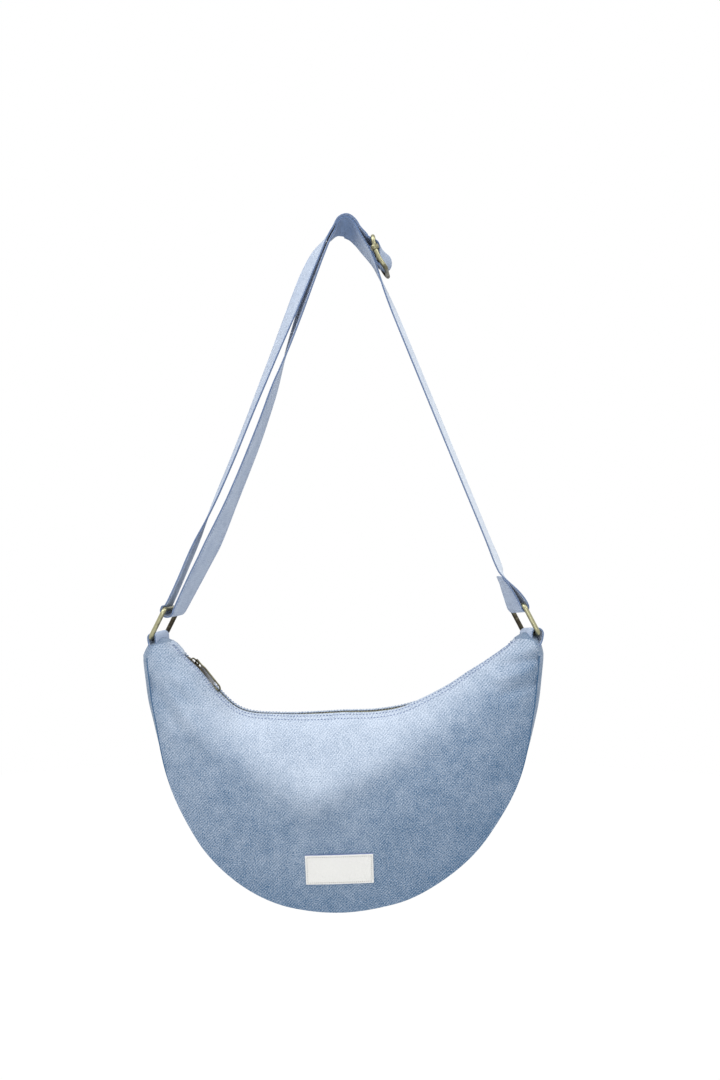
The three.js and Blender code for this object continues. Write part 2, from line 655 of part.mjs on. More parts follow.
// The adjuster's frame bows over the strap so that its middle bar stands clear for the sewn end.
const wireHalf = ADJUSTER.wire / 2;
const endBarLift = -(STRAP_THICK / 2 + SEAT + wireHalf);
const innerLeg = STRAP_THICK + SEAT;
const barLift = innerLeg + STRAP_THICK / 2 + SEAT + wireHalf;
const loopLayer = wireHalf + SEAT + STRAP_THICK / 2;
const frameWide = STRAP_WIDTH + ADJUSTER_EASE + ADJUSTER.wire;
const adjuster = new THREE.Group();
const adjusterOut = runAcross.clone().cross(runUp).normalize();
const adjusterSide = runUp.clone().cross(adjusterOut).normalize();
const slideBasis = new THREE.Matrix4().makeBasis(adjusterOut, adjusterSide, runUp);
adjuster.quaternion.setFromRotationMatrix(slideBasis);
const runLine = new THREE.Line3(runStart, runEnd);
adjuster.position.copy(runLine.closestPointToPoint(adjusterAt, true, vec(0, 0, 0)));
bag.add(adjuster);

const bow = (z) => lerp(barLift, endBarLift, (2 * z / ADJUSTER.length) ** 2);
const frameLoop = roundedLoop(frameWide, ADJUSTER.length, ADJUSTER.corner, RAIL_STEPS, bow);
place('adjuster_frame', wireLoop(frameLoop, vec(1, 0, 0), wireHalf), brass(), adjuster);

function adjusterBar() {
  const reach = frameWide / 2;
  const bore = wireHalf + COLLAR.gap;
  const outer = bore + COLLAR.wall;
  const profile = [[bore, -1], [outer, -1], [outer, 1], [bore, 1], [bore, -1]];
  const rim = profile.map(([r, h]) => new THREE.Vector2(r, h * COLLAR.length / 2));
  const collar = () => new THREE.LatheGeometry(rim, WIRE_SIDES).rotateX(Math.PI / 2);
  const rodLength = 2 * (reach - bore - COLLAR.wall / 2);
  const rod = new THREE.CylinderGeometry(wireHalf, wireHalf, rodLength, WIRE_SIDES);
  const bar = joined(rod, collar().translate(0, reach, 0), collar().translate(0, -reach, 0));
  return bar.translate(barLift, 0, 0);
}

place('adjuster_bar', adjusterBar(), brass(), adjuster);

// The strap's sewn end: up from the flap, down round the middle bar and up again outside it.
function endLoop() {
  const meet = innerLeg + layerStep;
  const points = [vec(innerLeg, 0, END_LOOP - END_STEP), vec(innerLeg, 0, END_LOOP / 2)];
  for (let k = 0; k <= TURN_STEPS; k++) {
    const turn = Math.PI * (1 + k / TURN_STEPS);
    points.push(vec(barLift + loopLayer * Math.cos(turn), 0, loopLayer * Math.sin(turn)));
  }
  const outer = barLift + loopLayer;
  for (const share of [0.35, 0.7, 1]) {
    points.push(vec(lerp(outer, meet, smooth(share, 0, 1)), 0, END_LOOP * share));
  }
  return webbing(points, points.map(() => vec(0, 1, 0)));
}

place('strap_end_loop', endLoop(), denim(), adjuster);

// The return run lies on the long run at the arch and parts from it down the left side.
function returnRun() {
  const sewnAt = runStart.distanceTo(adjuster.position) + END_LOOP + 2 * LAYER_GAP;
  const first = travelled.findIndex((distance) => distance > sewnAt);
  const indices = route.map((_, i) => i).slice(first);
  const points = indices.map((i) => {
    const down = (travelled[i] - archSpan) / (routeLength - archSpan);
    const sewn = innerLeg * (1 - smooth(travelled[i], sewnAt, archSpan));
    const parted = PARTING * smooth(down, 0.1, 0.45);
    const closed = (PARTING + layerStep - 2 * turnLayer) * smooth(down, 0.7, 1);
    return route[i].clone().addScaledVector(outwardAt(i), layerStep + sewn + parted - closed);
  });
  return webbing(points, indices.map((i) => routeAcross[i]));
}

place('strap_return_run', returnRun(), denim());

// Webbing round a ring's upper bar: two legs along the strap joined by a half turn below the bar.
function barTurn(bar, up, out, across, legs) {
  const leg = (places) => places.map(([height, offset]) => beside(bar, up, height, out, offset));
  const turn = Array.from({ length: TURN_STEPS + 1 }, (_, k) => {
    const angle = Math.PI * k / TURN_STEPS;
    return beside(bar, up, -turnLayer * Math.sin(angle), out, turnLayer * Math.cos(angle));
  });
  const points = [...leg(legs[0]), ...turn, ...leg(legs[1])];
  return webbing(points, points.map(() => across));
}

const evenLeg = (sign) => [[LEG_START, sign * turnLayer], [TURN_LEG, sign * turnLayer]];
const turnLegs = [evenLeg(1).reverse(), evenLeg(-1)];
const leftTurn = barTurn(leftBar, leftUp, leftOut, ringFrames.left.across, turnLegs);
place('strap_left_turn', leftTurn, denim());

const flapLeg = (sign, top) => [[LEG_START, sign * turnLayer], [FLAP * 0.4, sign * turnLayer * 0.8],
  [FLAP * 0.75, sign * layerStep * 0.6], [top, sign * layerStep / 2]];
const rightLoop = barTurn(rightBar, runUp, runOut, ringFrames.right.across,
  [flapLeg(1, FLAP).reverse(), flapLeg(-1, FLAP - END_STEP)]);
place('strap_right_loop', rightLoop, denim());

export default bag;
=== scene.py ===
"""A half-moon denim bag hung by its adjustable strap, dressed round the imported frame."""
import math

import bpy
import numpy as np
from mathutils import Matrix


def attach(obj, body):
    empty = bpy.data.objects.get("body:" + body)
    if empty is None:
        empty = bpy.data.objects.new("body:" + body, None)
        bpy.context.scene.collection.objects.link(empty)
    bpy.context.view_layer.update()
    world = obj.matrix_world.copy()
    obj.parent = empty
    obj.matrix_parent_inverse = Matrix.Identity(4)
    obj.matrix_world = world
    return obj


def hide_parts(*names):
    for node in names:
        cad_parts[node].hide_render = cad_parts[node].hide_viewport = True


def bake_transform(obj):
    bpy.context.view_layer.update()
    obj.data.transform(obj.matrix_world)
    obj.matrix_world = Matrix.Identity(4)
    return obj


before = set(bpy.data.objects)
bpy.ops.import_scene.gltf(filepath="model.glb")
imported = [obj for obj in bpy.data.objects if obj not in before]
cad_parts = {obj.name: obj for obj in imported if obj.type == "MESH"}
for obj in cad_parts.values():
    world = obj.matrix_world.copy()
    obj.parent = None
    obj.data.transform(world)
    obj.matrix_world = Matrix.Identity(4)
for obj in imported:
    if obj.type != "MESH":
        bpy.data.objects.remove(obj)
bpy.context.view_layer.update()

# Sizes in millimetres and angles in degrees, as the frame has them: bag, zip, strap and rings
MM = 0.001
BAG_WIDTH, BELLY_DROP, CORNER_Z = 372, 219, -417.1
ZIP_RADIUS, ZIP_CENTRE_Z = 213, -250.6
HORN_ANGLE, MOUTH_HALF_GAP, BASE_HALF_DEPTH, HORN_HALF_DEPTH = 50, 5.5, 38, 23.6
HORN_BULGE, BELLY_BULGE, CLOTH = 8, 28, 1.5
CHAIN_ANGLE, TOOTH_PITCH, TAPE_DEPTH, TAPE_THICK = 44, 2.9, 1.8, 0.7
SLIDER_REST = -41.909
STRAP_WIDTH, STRAP_THICK, LAYER_GAP, TURN_GAP, STITCH_INSET = 38, 1.8, 0.6, 0.6, 3.2
RING_WIRE, RING_REACH, RING_LEAN, RING_TWIST = 4.2, 29, 27, 9
RING_X, RING_Z = 175.97, -386.923
FLAP, CUT_END, PARTING, ARCH_TILT = 42, 34, 14, 15
LOOP_INNER, LOOP_OUTER, LOOP_DROP = 7.5, 4.2, 5.5
ADJUSTER_LENGTH, ADJUSTER_WIRE, FRAME_TWIST = 32, 4.0, 5
SEWN_LEG, INNER_LEG, BAR_UP, BAR_GAP = 18, 2.1, 6, 0.3
LEFT, RIGHT, FRONT, BACK = -1, 1, -1, 1

LAYER_STEP = STRAP_THICK + LAYER_GAP
TURN_LAYER = RING_WIRE / 2 + TURN_GAP + STRAP_THICK / 2
BAR_LIFT = INNER_LEG + STRAP_THICK / 2 + BAR_GAP + ADJUSTER_WIRE / 2


def lerp(a, b, t):
    """The value a share t of the way from a to b."""
    return a + (b - a) * t


def ease(x, low, high):
    """A smooth step from 0 at low to 1 at high."""
    t = np.clip((x - low) / (high - low), 0, 1)
    return t * t * (3 - 2 * t)


def unit(v):
    """Vectors divided by their own length."""
    return v / np.linalg.norm(v, axis=-1, keepdims=True)


def vec(*xyz):
    """A vector of its numbers."""
    return np.array(xyz, float)


UP, ACROSS_BAG = vec(0, 0, 1), vec(0, 1, 0)


def through(points, steps):
    """A smooth curve through points: cubic pieces whose slopes are spaced by the root of each chord."""
    before, after = 2 * points[0] - points[1], 2 * points[-1] - points[-2]
    p = np.concatenate([[before], points, [after]])
    gap = np.linalg.norm(np.diff(p, axis=0), axis=1)[:, None] ** 0.5
    d0, d1, d2 = gap[:-2], gap[1:-1], gap[2:]
    p0, p1, p2, p3 = p[:-3], p[1:-2], p[2:-1], p[3:]
    t1 = ((p1 - p0) / d0 - (p2 - p0) / (d0 + d1) + (p2 - p1) / d1) * d1
    t2 = ((p2 - p1) / d1 - (p3 - p1) / (d1 + d2) + (p3 - p2) / d2) * d1
    t = np.linspace(0, 1, steps + 1)[:-1][None, :, None]
    p1, p2, t1, t2 = (value[:, None] for value in (p1, p2, t1, t2))
    curve = p1 + t1 * t + (3 * p2 - 3 * p1 - 2 * t1 - t2) * t ** 2 + (2 * p1 - 2 * p2 + t1 + t2) * t ** 3
    return np.concatenate([curve.reshape(-1, 3), points[-1:]])


def soft_curve(x, knots):
    """A smooth curve through knots of (place, value), level beyond its ends: cubic pieces, where each knot's
    slope is the mean of the two chords beside it."""
    place, value = np.array(knots, float).T
    chord = np.diff(value) / np.diff(place)
    slope = np.concatenate([[0], (chord[1:] + chord[:-1]) / 2, [0]])
    i = np.clip(np.searchsorted(place, x) - 1, 0, len(place) - 2)
    span = place[i + 1] - place[i]
    t = np.clip((x - place[i]) / span, 0, 1)
    start, end, rise = slope[i] * span, slope[i + 1] * span, value[i + 1] - value[i]
    return value[i] + start * t + (3 * rise - 2 * start - end) * t ** 2 + (start + end - 2 * rise) * t ** 3


# Meshes. A shell is its points, its faces, each point's flat place on the cloth and each point's tone
CREASE = 45


def tubes(points, ring=False, weave=None, tone=None):
    """Closed shells: points[shell, place, corner]. A profile of corners is carried through places.
    Each shell is capped at both ends, corner j facing corner n-1-j, or closed on itself as a ring."""
    points = np.asarray(points, float)
    count, m, n = points.shape[:3]
    i = np.arange(m if ring else m - 1)[:, None]
    j = np.arange(n)[None, :]
    i2, j2 = (i + 1) % m, (j + 1) % n
    sides = np.stack(np.broadcast_arrays(i * n + j, i2 * n + j, i2 * n + j2, i * n + j2), -1).reshape(-1, 4)
    if not ring:
        j = np.arange(n // 2 - 1)
        low = np.stack([j, j + 1, n - 2 - j, n - 1 - j], -1)
        sides = np.concatenate([sides, low, (m - 1) * n + low[:, ::-1]])
    first = points[0].reshape(-1, 3)
    a, b, c, d = (first[sides[:, k]] for k in range(4))
    volume = np.sum(a * np.cross(b, c)) + np.sum(a * np.cross(c, d))
    sides = sides if volume > 0 else sides[:, ::-1]
    faces = (np.arange(count)[:, None, None] * m * n + sides[None]).reshape(-1, 4)
    grid = points.shape[:3]
    flat = np.broadcast_to(0.0 if weave is None else weave, grid + (2,)).reshape(-1, 2)
    shade = np.broadcast_to(0.0 if tone is None else tone, grid).ravel()
    return points.reshape(-1, 3), faces, flat, shade


def moved(shell, placing):
    """The same shell with its points put through a placing."""
    return (placing(shell[0]),) + shell[1:]


def toned(shell, tone):
    """The same shell with another tone."""
    return shell[:3] + (tone,)


def make_piece(name, shells, material):
    """One mesh object from closed shells, in metres, with the cloth's own flat places as its UV map."""
    starts = np.cumsum([0] + [len(shell[0]) for shell in shells])
    verts = np.concatenate([shell[0] for shell in shells]) * MM
    faces = np.concatenate([shell[1] + start for shell, start in zip(shells, starts)])
    weave = np.concatenate([shell[2] for shell in shells])
    tone = np.concatenate([shell[3] for shell in shells])
    mesh = bpy.data.meshes.new(name)
    mesh.vertices.add(len(verts))
    mesh.vertices.foreach_set("co", verts.astype(np.float32).ravel())
    mesh.loops.add(faces.size)
    mesh.loops.foreach_set("vertex_index", faces.astype(np.int32).ravel())
    mesh.polygons.add(len(faces))
    mesh.polygons.foreach_set("loop_start", np.arange(0, faces.size, 4, dtype=np.int32))
    mesh.update(calc_edges=True)
    mesh.polygons.foreach_set("use_smooth", np.ones(len(faces), dtype=bool))
    mesh.set_sharp_from_angle(angle=math.radians(CREASE))
    layer = mesh.uv_layers.new(name="weave")
    layer.uv.foreach_set("vector", weave[faces.ravel()].astype(np.float32).ravel())
    mesh.attributes.new("tone", "FLOAT", "POINT").data.foreach_set("value", tone.astype(np.float32))
    mesh.materials.append(material)
    made = bpy.data.objects.new(name, mesh)
    bpy.context.collection.objects.link(made)
    return made


def both_sides(make, name):
    """The same kind of piece on the front and on the back."""
    return make("front_" + name, FRONT), make("back_" + name, BACK)


def both_ends(make, name):
    """The same kind of piece at the left and at the right."""
    return make("left_" + name, LEFT), make("right_" + name, RIGHT)


def grid_normals(points):
    """Unit normals of a grid of points, from its two central differences."""
    return unit(np.cross(np.gradient(points, axis=0), np.gradient(points, axis=1)))


def arc_length(path):
    """Distance along a path at each of its points: the sum of the steps before it."""
    steps = np.linalg.norm(np.diff(path, axis=0), axis=1)
    return np.concatenate([[0], np.cumsum(steps)])


def cloth_shell(outer, thick, weave, inward, tone=None):
    """A sheet of cloth: the outer grid, and the same grid moved thick along inward, joined round the border.
    Along the second direction the border is rounded by a row half way through the cloth."""
    near, far = (outer[:, k] + inward[:, k] * thick / 2 + unit(outer[:, k] - outer[:, k2]) * thick / 3
                 for k, k2 in ((0, 1), (-1, -2)))
    inner = outer + inward * thick
    rows = np.concatenate([near[:, None], outer, far[:, None], inner[:, ::-1]], 1)
    column = np.arange(outer.shape[1])
    pick = np.concatenate([column[:1], column, column[-1:], column[::-1]])
    shade = None if tone is None else tone[:, pick][None]
    return tubes(rows[None], weave=weave[:, pick][None], tone=shade)


# The direction from which light is painted onto the wires
LIT_FROM = unit(vec(-0.1, -0.85, 0.5))


def lit_side_tone(points, path_count, amount):
    """Tone of a wire: painted light where it faces the front and above, painted shade on the sides turned
    away.
    """
    rings = points.reshape(path_count, -1, 3)
    face = unit(rings - rings.mean(1, keepdims=True)) @ LIT_FROM
    return (amount * (1 - ease(face, -0.1, 0.95))).ravel()


def corners(count):
    """Angles of evenly spread corners round a circle."""
    return 2 * np.pi * (np.arange(count) + 0.5) / count


def wire_shell(path, side, radius, sides=20, ring=True, squeeze=1.0, tone=None):
    """A round wire along a path: a circle in the plane of side and its normal, squeezed along side."""
    ahead = np.roll(path, -1, 0) - np.roll(path, 1, 0) if ring else np.gradient(path, axis=0)
    along = unit(ahead)
    across = unit(side - along * np.sum(side * along, -1, keepdims=True))
    other = np.cross(along, across)
    turn = corners(sides)[None, :, None]
    circle = squeeze * np.cos(turn) * across[:, None] + np.sin(turn) * other[:, None]
    points = path[:, None] + np.asarray(radius).reshape(-1, 1, 1) * circle
    return tubes(points[None], ring=ring, tone=tone)


def rounded_loop(wide, tall, corner, steps=7, rail=14):
    """A rectangle with round corners as a closed path of (across, along) places, with rail points on each
    side. Point j faces point n-1-j across it."""
    turn = np.linspace(0, np.pi / 2, steps + 1)
    arcs = []
    for k, (sx, sy) in enumerate(((1, 1), (-1, 1), (-1, -1), (1, -1))):
        angle = k * np.pi / 2 + turn
        middle = vec(sx * (wide / 2 - corner), sy * (tall / 2 - corner))
        arcs.append(middle + corner * np.stack([np.cos(angle), np.sin(angle)], -1))
    share = np.linspace(0, 1, rail + 2)[1:-1, None]
    return np.concatenate([part for arc, after in zip(arcs, arcs[1:] + arcs[:1])
                           for part in (arc, lerp(arc[-1], after[0], share))])


# Shader nodes
def add_node(tree, kind, inputs=None, **settings):
    """Adds a node; inputs gives values or other nodes' sockets by the name or number of the input."""
    made = tree.nodes.new("ShaderNode" + kind)
    for key, value in settings.items():
        setattr(made, key, value)
    for key, value in (inputs or {}).items():
        if isinstance(value, bpy.types.NodeSocket):
            tree.links.new(value, made.inputs[key])
        else:
            made.inputs[key].default_value = value
    return made


def calc(tree, operation, *values):
    """The result of one sum on values."""
    return add_node(tree, "Math", dict(enumerate(values)), operation=operation).outputs[0]


def ramp(tree, value, low, high, start=0.0, end=1.0):
    """A smooth step of value from start to end between low and high."""
    inputs = {"Value": value, "From Min": low, "From Max": high, "To Min": start, "To Max": end}
    return add_node(tree, "MapRange", inputs, interpolation_type="SMOOTHSTEP").outputs[0]


def blend_colours(tree, share, a, b):
    """Colour a where share is 0 and colour b where it is 1."""
    return add_node(tree, "Mix", {0: share, 6: a, 7: b}, data_type="RGBA").outputs[2]


def noise(tree, place, scale, detail=2.0, stretch=None):
    """Cloudy noise at a place, which is stretched first where asked."""
    if stretch is not None:
        place = add_node(tree, "Mapping", {"Vector": place, "Scale": stretch}).outputs[0]
    inputs = {"Vector": place, "Scale": scale, "Detail": detail}
    return add_node(tree, "TexNoise", inputs).outputs[0]


def waves(tree, place, pitch):
    """A sine of a place, with a wave every pitch."""
    return calc(tree, "SINE", calc(tree, "MULTIPLY", place, 2 * math.pi / pitch))


def new_group(name, inputs, outputs):
    """A shader group with named sockets: its tree, what it is given and what it puts out."""
    tree = bpy.data.node_groups.new(name, "ShaderNodeTree")
    for label, kind in inputs.items():
        tree.interface.new_socket(label, in_out="INPUT", socket_type="NodeSocket" + kind)
    for label, kind in outputs.items():
        tree.interface.new_socket(label, in_out="OUTPUT", socket_type="NodeSocket" + kind)
    return tree, tree.nodes.new("NodeGroupInput").outputs, tree.nodes.new("NodeGroupOutput").inputs


# Washed twill: its slant, the waves of its ribs and of the breaks along them, and the layers of its wash,
# each with its scale, detail, stretch and amount
TWILL_SLANT, FLECK_SCALE, BREAK_SHARE, RIB_SHARE, MIDDLE_SHARE = -48, 0.95, 0.55, 0.3, 0.39
RIBS = {"Scale": 0.158, "Distortion": 1.2, "Detail": 2.0, "Detail Scale": 0.6}
BREAKS = {"Scale": 0.125, "Distortion": 1.4, "Detail": 2.0, "Detail Scale": 0.8}
SLUBS = (0.9, 2.0, (1.0, 0.12, 1.0), 0.22)
WASH = (0.035, 3.0, None, 0.3)
MOTTLE = (0.11, 3.0, None, 0.3)


def twill_group():
    """Washed twill: slanted ribs, broken along their length, over flecks, slubs, mottle and a cloudy wash.
    The weave's place is in millimetres; tone lightens or deepens the wash, and on some pieces it holds
    painted light and shade."""
    inputs = {"Weave": "Vector", "Pale": "Color", "Deep": "Color", "Tone": "Float", "Fleck": "Float"}
    tree, given, out = new_group("washed twill", inputs, {"Color": "Color", "Height": "Float"})
    place = given["Weave"]
    slant = (0, 0, math.radians(TWILL_SLANT))
    slanted = add_node(tree, "Mapping", {"Vector": place, "Rotation": slant}).outputs[0]
    rib, broken = (add_node(tree, "TexWave", {"Vector": slanted} | wave, bands_direction=way).outputs["Fac"]
                   for wave, way in ((RIBS, "Y"), (BREAKS, "X")))
    height = calc(tree, "MULTIPLY", rib, calc(tree, "MULTIPLY_ADD", broken, BREAK_SHARE, 1 - BREAK_SHARE))
    fleck = noise(tree, place, FLECK_SCALE)
    layers = [(fleck, given["Fleck"])]
    layers += [(noise(tree, place, *look), amount) for *look, amount in (SLUBS, WASH, MOTTLE)]
    share = calc(tree, "MULTIPLY_ADD", height, RIB_SHARE, MIDDLE_SHARE)
    for layer, amount in layers:
        share = calc(tree, "MULTIPLY_ADD", calc(tree, "SUBTRACT", layer, 0.5), amount, share)
    share = calc(tree, "ADD", share, given["Tone"])
    tree.links.new(blend_colours(tree, share, given["Deep"], given["Pale"]), out["Color"])
    tree.links.new(calc(tree, "MULTIPLY_ADD", fleck, 0.5, height), out["Height"])
    return tree


# Antique finish: its cloud and grain by scale and detail, the cloud's part in the tarnish, the range over
# which tarnish and the painted shade in the piece's tone darken it, and the roughness of clean metal, of
# tarnish and of grain
CLOUD, GRAIN, CLOUD_SHARE, CLEAR_SHARE, TARNISH_AND_SHADE_RANGE = (260.0, 3.0), (1500.0, 2.0), 0.9, -0.3, (0.05, 0.85)
CLEAN_ROUGH, TARNISH_ROUGH, GRAIN_ROUGH = 0.2, 0.2, 0.16


def antique_group():
    """Antique finish: dark tarnish gathers by cloudy noise and by the piece's tone, which on some pieces
    holds painted shade; both darken and roughen the metal.
    """
    inputs = {"Place": "Vector", "Bright": "Color", "Dark": "Color", "Tone": "Float"}
    outputs = {"Color": "Color", "Roughness": "Float", "Height": "Float"}
    tree, given, out = new_group("antique finish", inputs, outputs)
    cloud = noise(tree, given["Place"], *CLOUD)
    grain = noise(tree, given["Place"], *GRAIN)
    share = calc(tree, "MULTIPLY_ADD", cloud, CLOUD_SHARE, CLEAR_SHARE)
    tarnish_and_shade = ramp(tree, calc(tree, "ADD", share, given["Tone"]), *TARNISH_AND_SHADE_RANGE)
    rough = calc(tree, "MULTIPLY_ADD", tarnish_and_shade, TARNISH_ROUGH, CLEAN_ROUGH)
    rough = calc(tree, "MULTIPLY_ADD", grain, GRAIN_ROUGH, rough)
    tree.links.new(blend_colours(tree, tarnish_and_shade, given["Bright"], given["Dark"]), out["Color"])
    tree.links.new(rough, out["Roughness"])
    tree.links.new(grain, out["Height"])
    return tree


TWILL = twill_group()
ANTIQUE = antique_group()
CLOTH_FINISH = {"Roughness": 0.92, "Sheen Weight": 0.15, "Sheen Roughness": 0.5, "Specular IOR Level": 0.15}
PANEL_FLECK, STRAP_FLECK, STITCH_PITCH = 1.55, 0.8, 3.1
# Bumps of the finishes: strength, and distance in metres
PANEL_BUMP, STRAP_BUMP, BRASS_BUMP = (0.35, 0.0006), (0.4, 0.0007), (0.12, 0.0002)
HATCH_BUMP, WEAVE_BUMP, THREAD_BUMP = (0.5, 0.0003), (0.3, 0.0003), (0.4, 0.0002)
# Stitches drawn on the strap: a dash's share of the pitch, its row's softness, half width and strength
DASH, DASH_SOFT, DASH_HALF, DASH_SHOW = (0.3, 0.38), 1.6, 0.35, 0.8
# The strap's turned edge, darker partly by its own colour and partly as painted shade of the gap between the
# layers: how far in it starts and is full, and its strength; then the look of its long creases, and the
# heights of creases and stitches
RIM_START, RIM_FULL, RIM_SHOW = 0.7, 0.1, 0.9
CREASES, CREASE_HEIGHT, DASH_HEIGHT = (0.16, 2.0, (0.06, 1.0, 1.0)), 1.6, 0.6
# Hollows of the hatching by height, then the plain weave: its mottle, and the parts of mottle and lines
HOLLOW, WEAVE_MOTTLE = (-0.2, 0.9, 0.45, 0.0), (0.4, 2.0)
MOTTLE_SHARE, MOTTLE_START, LINE_SHARE = 0.7, 0.05, 0.25


def new_material(name, constants):
    """A material whose shader holds the constants, and the tree and shader to wire further."""
    material = bpy.data.materials.new(name)
    material.use_nodes = True
    tree = material.node_tree
    shader = tree.nodes["Principled BSDF"]
    for key, value in constants.items():
        shader.inputs[key].default_value = value
    return material, tree, shader


def colour_surface(tree, shader, colour, height, strength, distance):
    """Wires a colour to the shader, and a height as its bump."""
    tree.links.new(colour, shader.inputs["Base Color"])
    bump = add_node(tree, "Bump", {"Height": height, "Strength": strength, "Distance": distance})
    tree.links.new(bump.outputs[0], shader.inputs["Normal"])


def weave_place(tree):
    """The flat place on the cloth, and its parts along and across."""
    place = add_node(tree, "UVMap", uv_map="weave").outputs[0]
    return place, add_node(tree, "SeparateXYZ", {0: place}).outputs


def tone_value(tree):
    """The piece's own tone at each point."""
    return add_node(tree, "Attribute", attribute_name="tone").outputs["Fac"]


def twill(tree, place, pale, deep, fleck):
    """The washed twill group with a cloth's own colours."""
    inputs = {"Weave": place, "Pale": pale, "Deep": deep, "Tone": tone_value(tree), "Fleck": fleck}
    return add_node(tree, "Group", inputs, node_tree=TWILL).outputs


def antique(tree, bright, dark):
    """The antique finish group with a metal's own colours."""
    place = add_node(tree, "TexCoord").outputs["Object"]
    inputs = {"Place": place, "Bright": bright, "Dark": dark, "Tone": tone_value(tree)}
    return add_node(tree, "Group", inputs, node_tree=ANTIQUE).outputs


def stitch_mask(tree, along, across, line, pitch, half):
    """Dashes of thread along a line: 1 inside each dash, 0 outside."""
    away = calc(tree, "ABSOLUTE", calc(tree, "SUBTRACT", calc(tree, "ABSOLUTE", across), line))
    row = ramp(tree, away, half, half * DASH_SOFT, 1.0, 0.0)
    phase = calc(tree, "FRACT", calc(tree, "DIVIDE", along, pitch))
    dash = ramp(tree, calc(tree, "ABSOLUTE", calc(tree, "SUBTRACT", phase, 0.5)), *DASH, 1.0, 0.0)
    return calc(tree, "MULTIPLY", row, dash)


def denim_material(name, pale, deep):
    """Washed twill of the bag's panels."""
    material, tree, shader = new_material(name, CLOTH_FINISH)
    cloth = twill(tree, weave_place(tree)[0], pale, deep, PANEL_FLECK)
    colour_surface(tree, shader, cloth["Color"], cloth["Height"], *PANEL_BUMP)
    return material


def strap_material(name, pale, deep, edge, thread):
    """Folded twill webbing: darker turned edges, partly their own colour and partly painted shade between
    the layers, and a row of stitches along each of them.
    """
    material, tree, shader = new_material(name, CLOTH_FINISH)
    place, (along, across, _) = weave_place(tree)
    cloth = twill(tree, place, pale, deep, STRAP_FLECK)
    border = STRAP_WIDTH / 2
    edge_place = calc(tree, "ABSOLUTE", across)
    rim = ramp(tree, edge_place, border - RIM_START, border - RIM_FULL, 0.0, RIM_SHOW)
    fold = noise(tree, place, *CREASES)
    stitch = stitch_mask(tree, along, across, border - STITCH_INSET, STITCH_PITCH, DASH_HALF)
    colour = blend_colours(tree, rim, cloth["Color"], edge)
    colour = blend_colours(tree, calc(tree, "MULTIPLY", stitch, DASH_SHOW), colour, thread)
    height = calc(tree, "MULTIPLY_ADD", stitch, DASH_HEIGHT, cloth["Height"])
    height = calc(tree, "MULTIPLY_ADD", fold, CREASE_HEIGHT, height)
    colour_surface(tree, shader, colour, height, *STRAP_BUMP)
    return material


def brass_material(name, bright, dark):
    """Rubbed metal with dark tarnish."""
    material, tree, shader = new_material(name, {"Metallic": 1.0})
    metal = antique(tree, bright, dark)
    tree.links.new(metal["Roughness"], shader.inputs["Roughness"])
    colour_surface(tree, shader, metal["Color"], metal["Height"], *BRASS_BUMP)
    return material


def hatched_material(name, bright, dark, pitch):
    """Matte metal with a fine criss-cross pressed into it."""
    material, tree, shader = new_material(name, {"Metallic": 1.0, "Roughness": 0.5})
    along, across, _ = weave_place(tree)[1]
    lines = [waves(tree, calc(tree, way, along, across), pitch) for way in ("ADD", "SUBTRACT")]
    height = calc(tree, "MAXIMUM", *lines)
    hollow = ramp(tree, height, *HOLLOW)
    colour = blend_colours(tree, hollow, antique(tree, bright, dark)["Color"], dark)
    colour_surface(tree, shader, colour, height, *HATCH_BUMP)
    return material


def woven_material(name, light, shade, pitch, roughness=0.85):
    """A plain woven cloth: warp and weft lines crossing over a fine mottle."""
    material, tree, shader = new_material(name, {"Roughness": roughness, "Specular IOR Level": 0.2})
    place, (along, across, _) = weave_place(tree)
    weave = calc(tree, "MULTIPLY", waves(tree, along, pitch), waves(tree, across, pitch))
    mottle = calc(tree, "MULTIPLY_ADD", noise(tree, place, *WEAVE_MOTTLE), MOTTLE_SHARE, MOTTLE_START)
    share = calc(tree, "ADD", calc(tree, "MULTIPLY_ADD", weave, LINE_SHARE, mottle), tone_value(tree))
    colour_surface(tree, shader, blend_colours(tree, share, light, shade), weave, *WEAVE_BUMP)
    return material


def thread_material(name, light, shade, pitch=0.6):
    """Twisted sewing thread: slanted plies wind round each stitch."""
    material, tree, shader = new_material(name, {"Roughness": 0.7, "Sheen Weight": 0.2})
    along, across, _ = weave_place(tree)[1]
    ply = waves(tree, calc(tree, "ADD", along, across), pitch)
    colour = blend_colours(tree, ramp(tree, ply, -1.0, 1.0), light, shade)
    colour_surface(tree, shader, colour, ply, *THREAD_BUMP)
    return material


SEAM_THREAD = (0.16, 0.23, 0.42, 1)
DENIM = denim_material("washed_denim", (0.63, 0.71, 0.83, 1), (0.045, 0.125, 0.245, 1))
STRAP_DENIM = strap_material("strap_denim", (0.80, 0.88, 0.99, 1), (0.20, 0.28, 0.44, 1),
                             (0.09, 0.145, 0.28, 1), SEAM_THREAD)
TAB_DENIM = strap_material("tab_denim", (0.60, 0.69, 0.84, 1), (0.30, 0.40, 0.58, 1),
                           (0.14, 0.21, 0.36, 1), SEAM_THREAD)
BRASS = brass_material("antique_brass", (0.39, 0.378, 0.236, 1), (0.05, 0.042, 0.03, 1))
HATCHED = hatched_material("hatched_brass", (0.68, 0.64, 0.59, 1), (0.24, 0.21, 0.18, 1), 1.1)
TAPE = woven_material("zip_tape", (0.035, 0.06, 0.15, 1), (0.07, 0.11, 0.24, 1), 0.9)
LABEL = woven_material("woven_label", (0.93, 0.93, 0.91, 1), (0.84, 0.84, 0.81, 1), 0.7, 0.75)
COTTON = woven_material("lining_cotton", (0.62, 0.58, 0.50, 1), (0.50, 0.46, 0.38, 1), 1.0)
BLUE_THREAD = thread_material("blue_thread", (0.17, 0.24, 0.46, 1), (0.10, 0.15, 0.32, 1))
GREY_THREAD = thread_material("grey_thread", (0.52, 0.52, 0.50, 1), (0.36, 0.36, 0.35, 1))


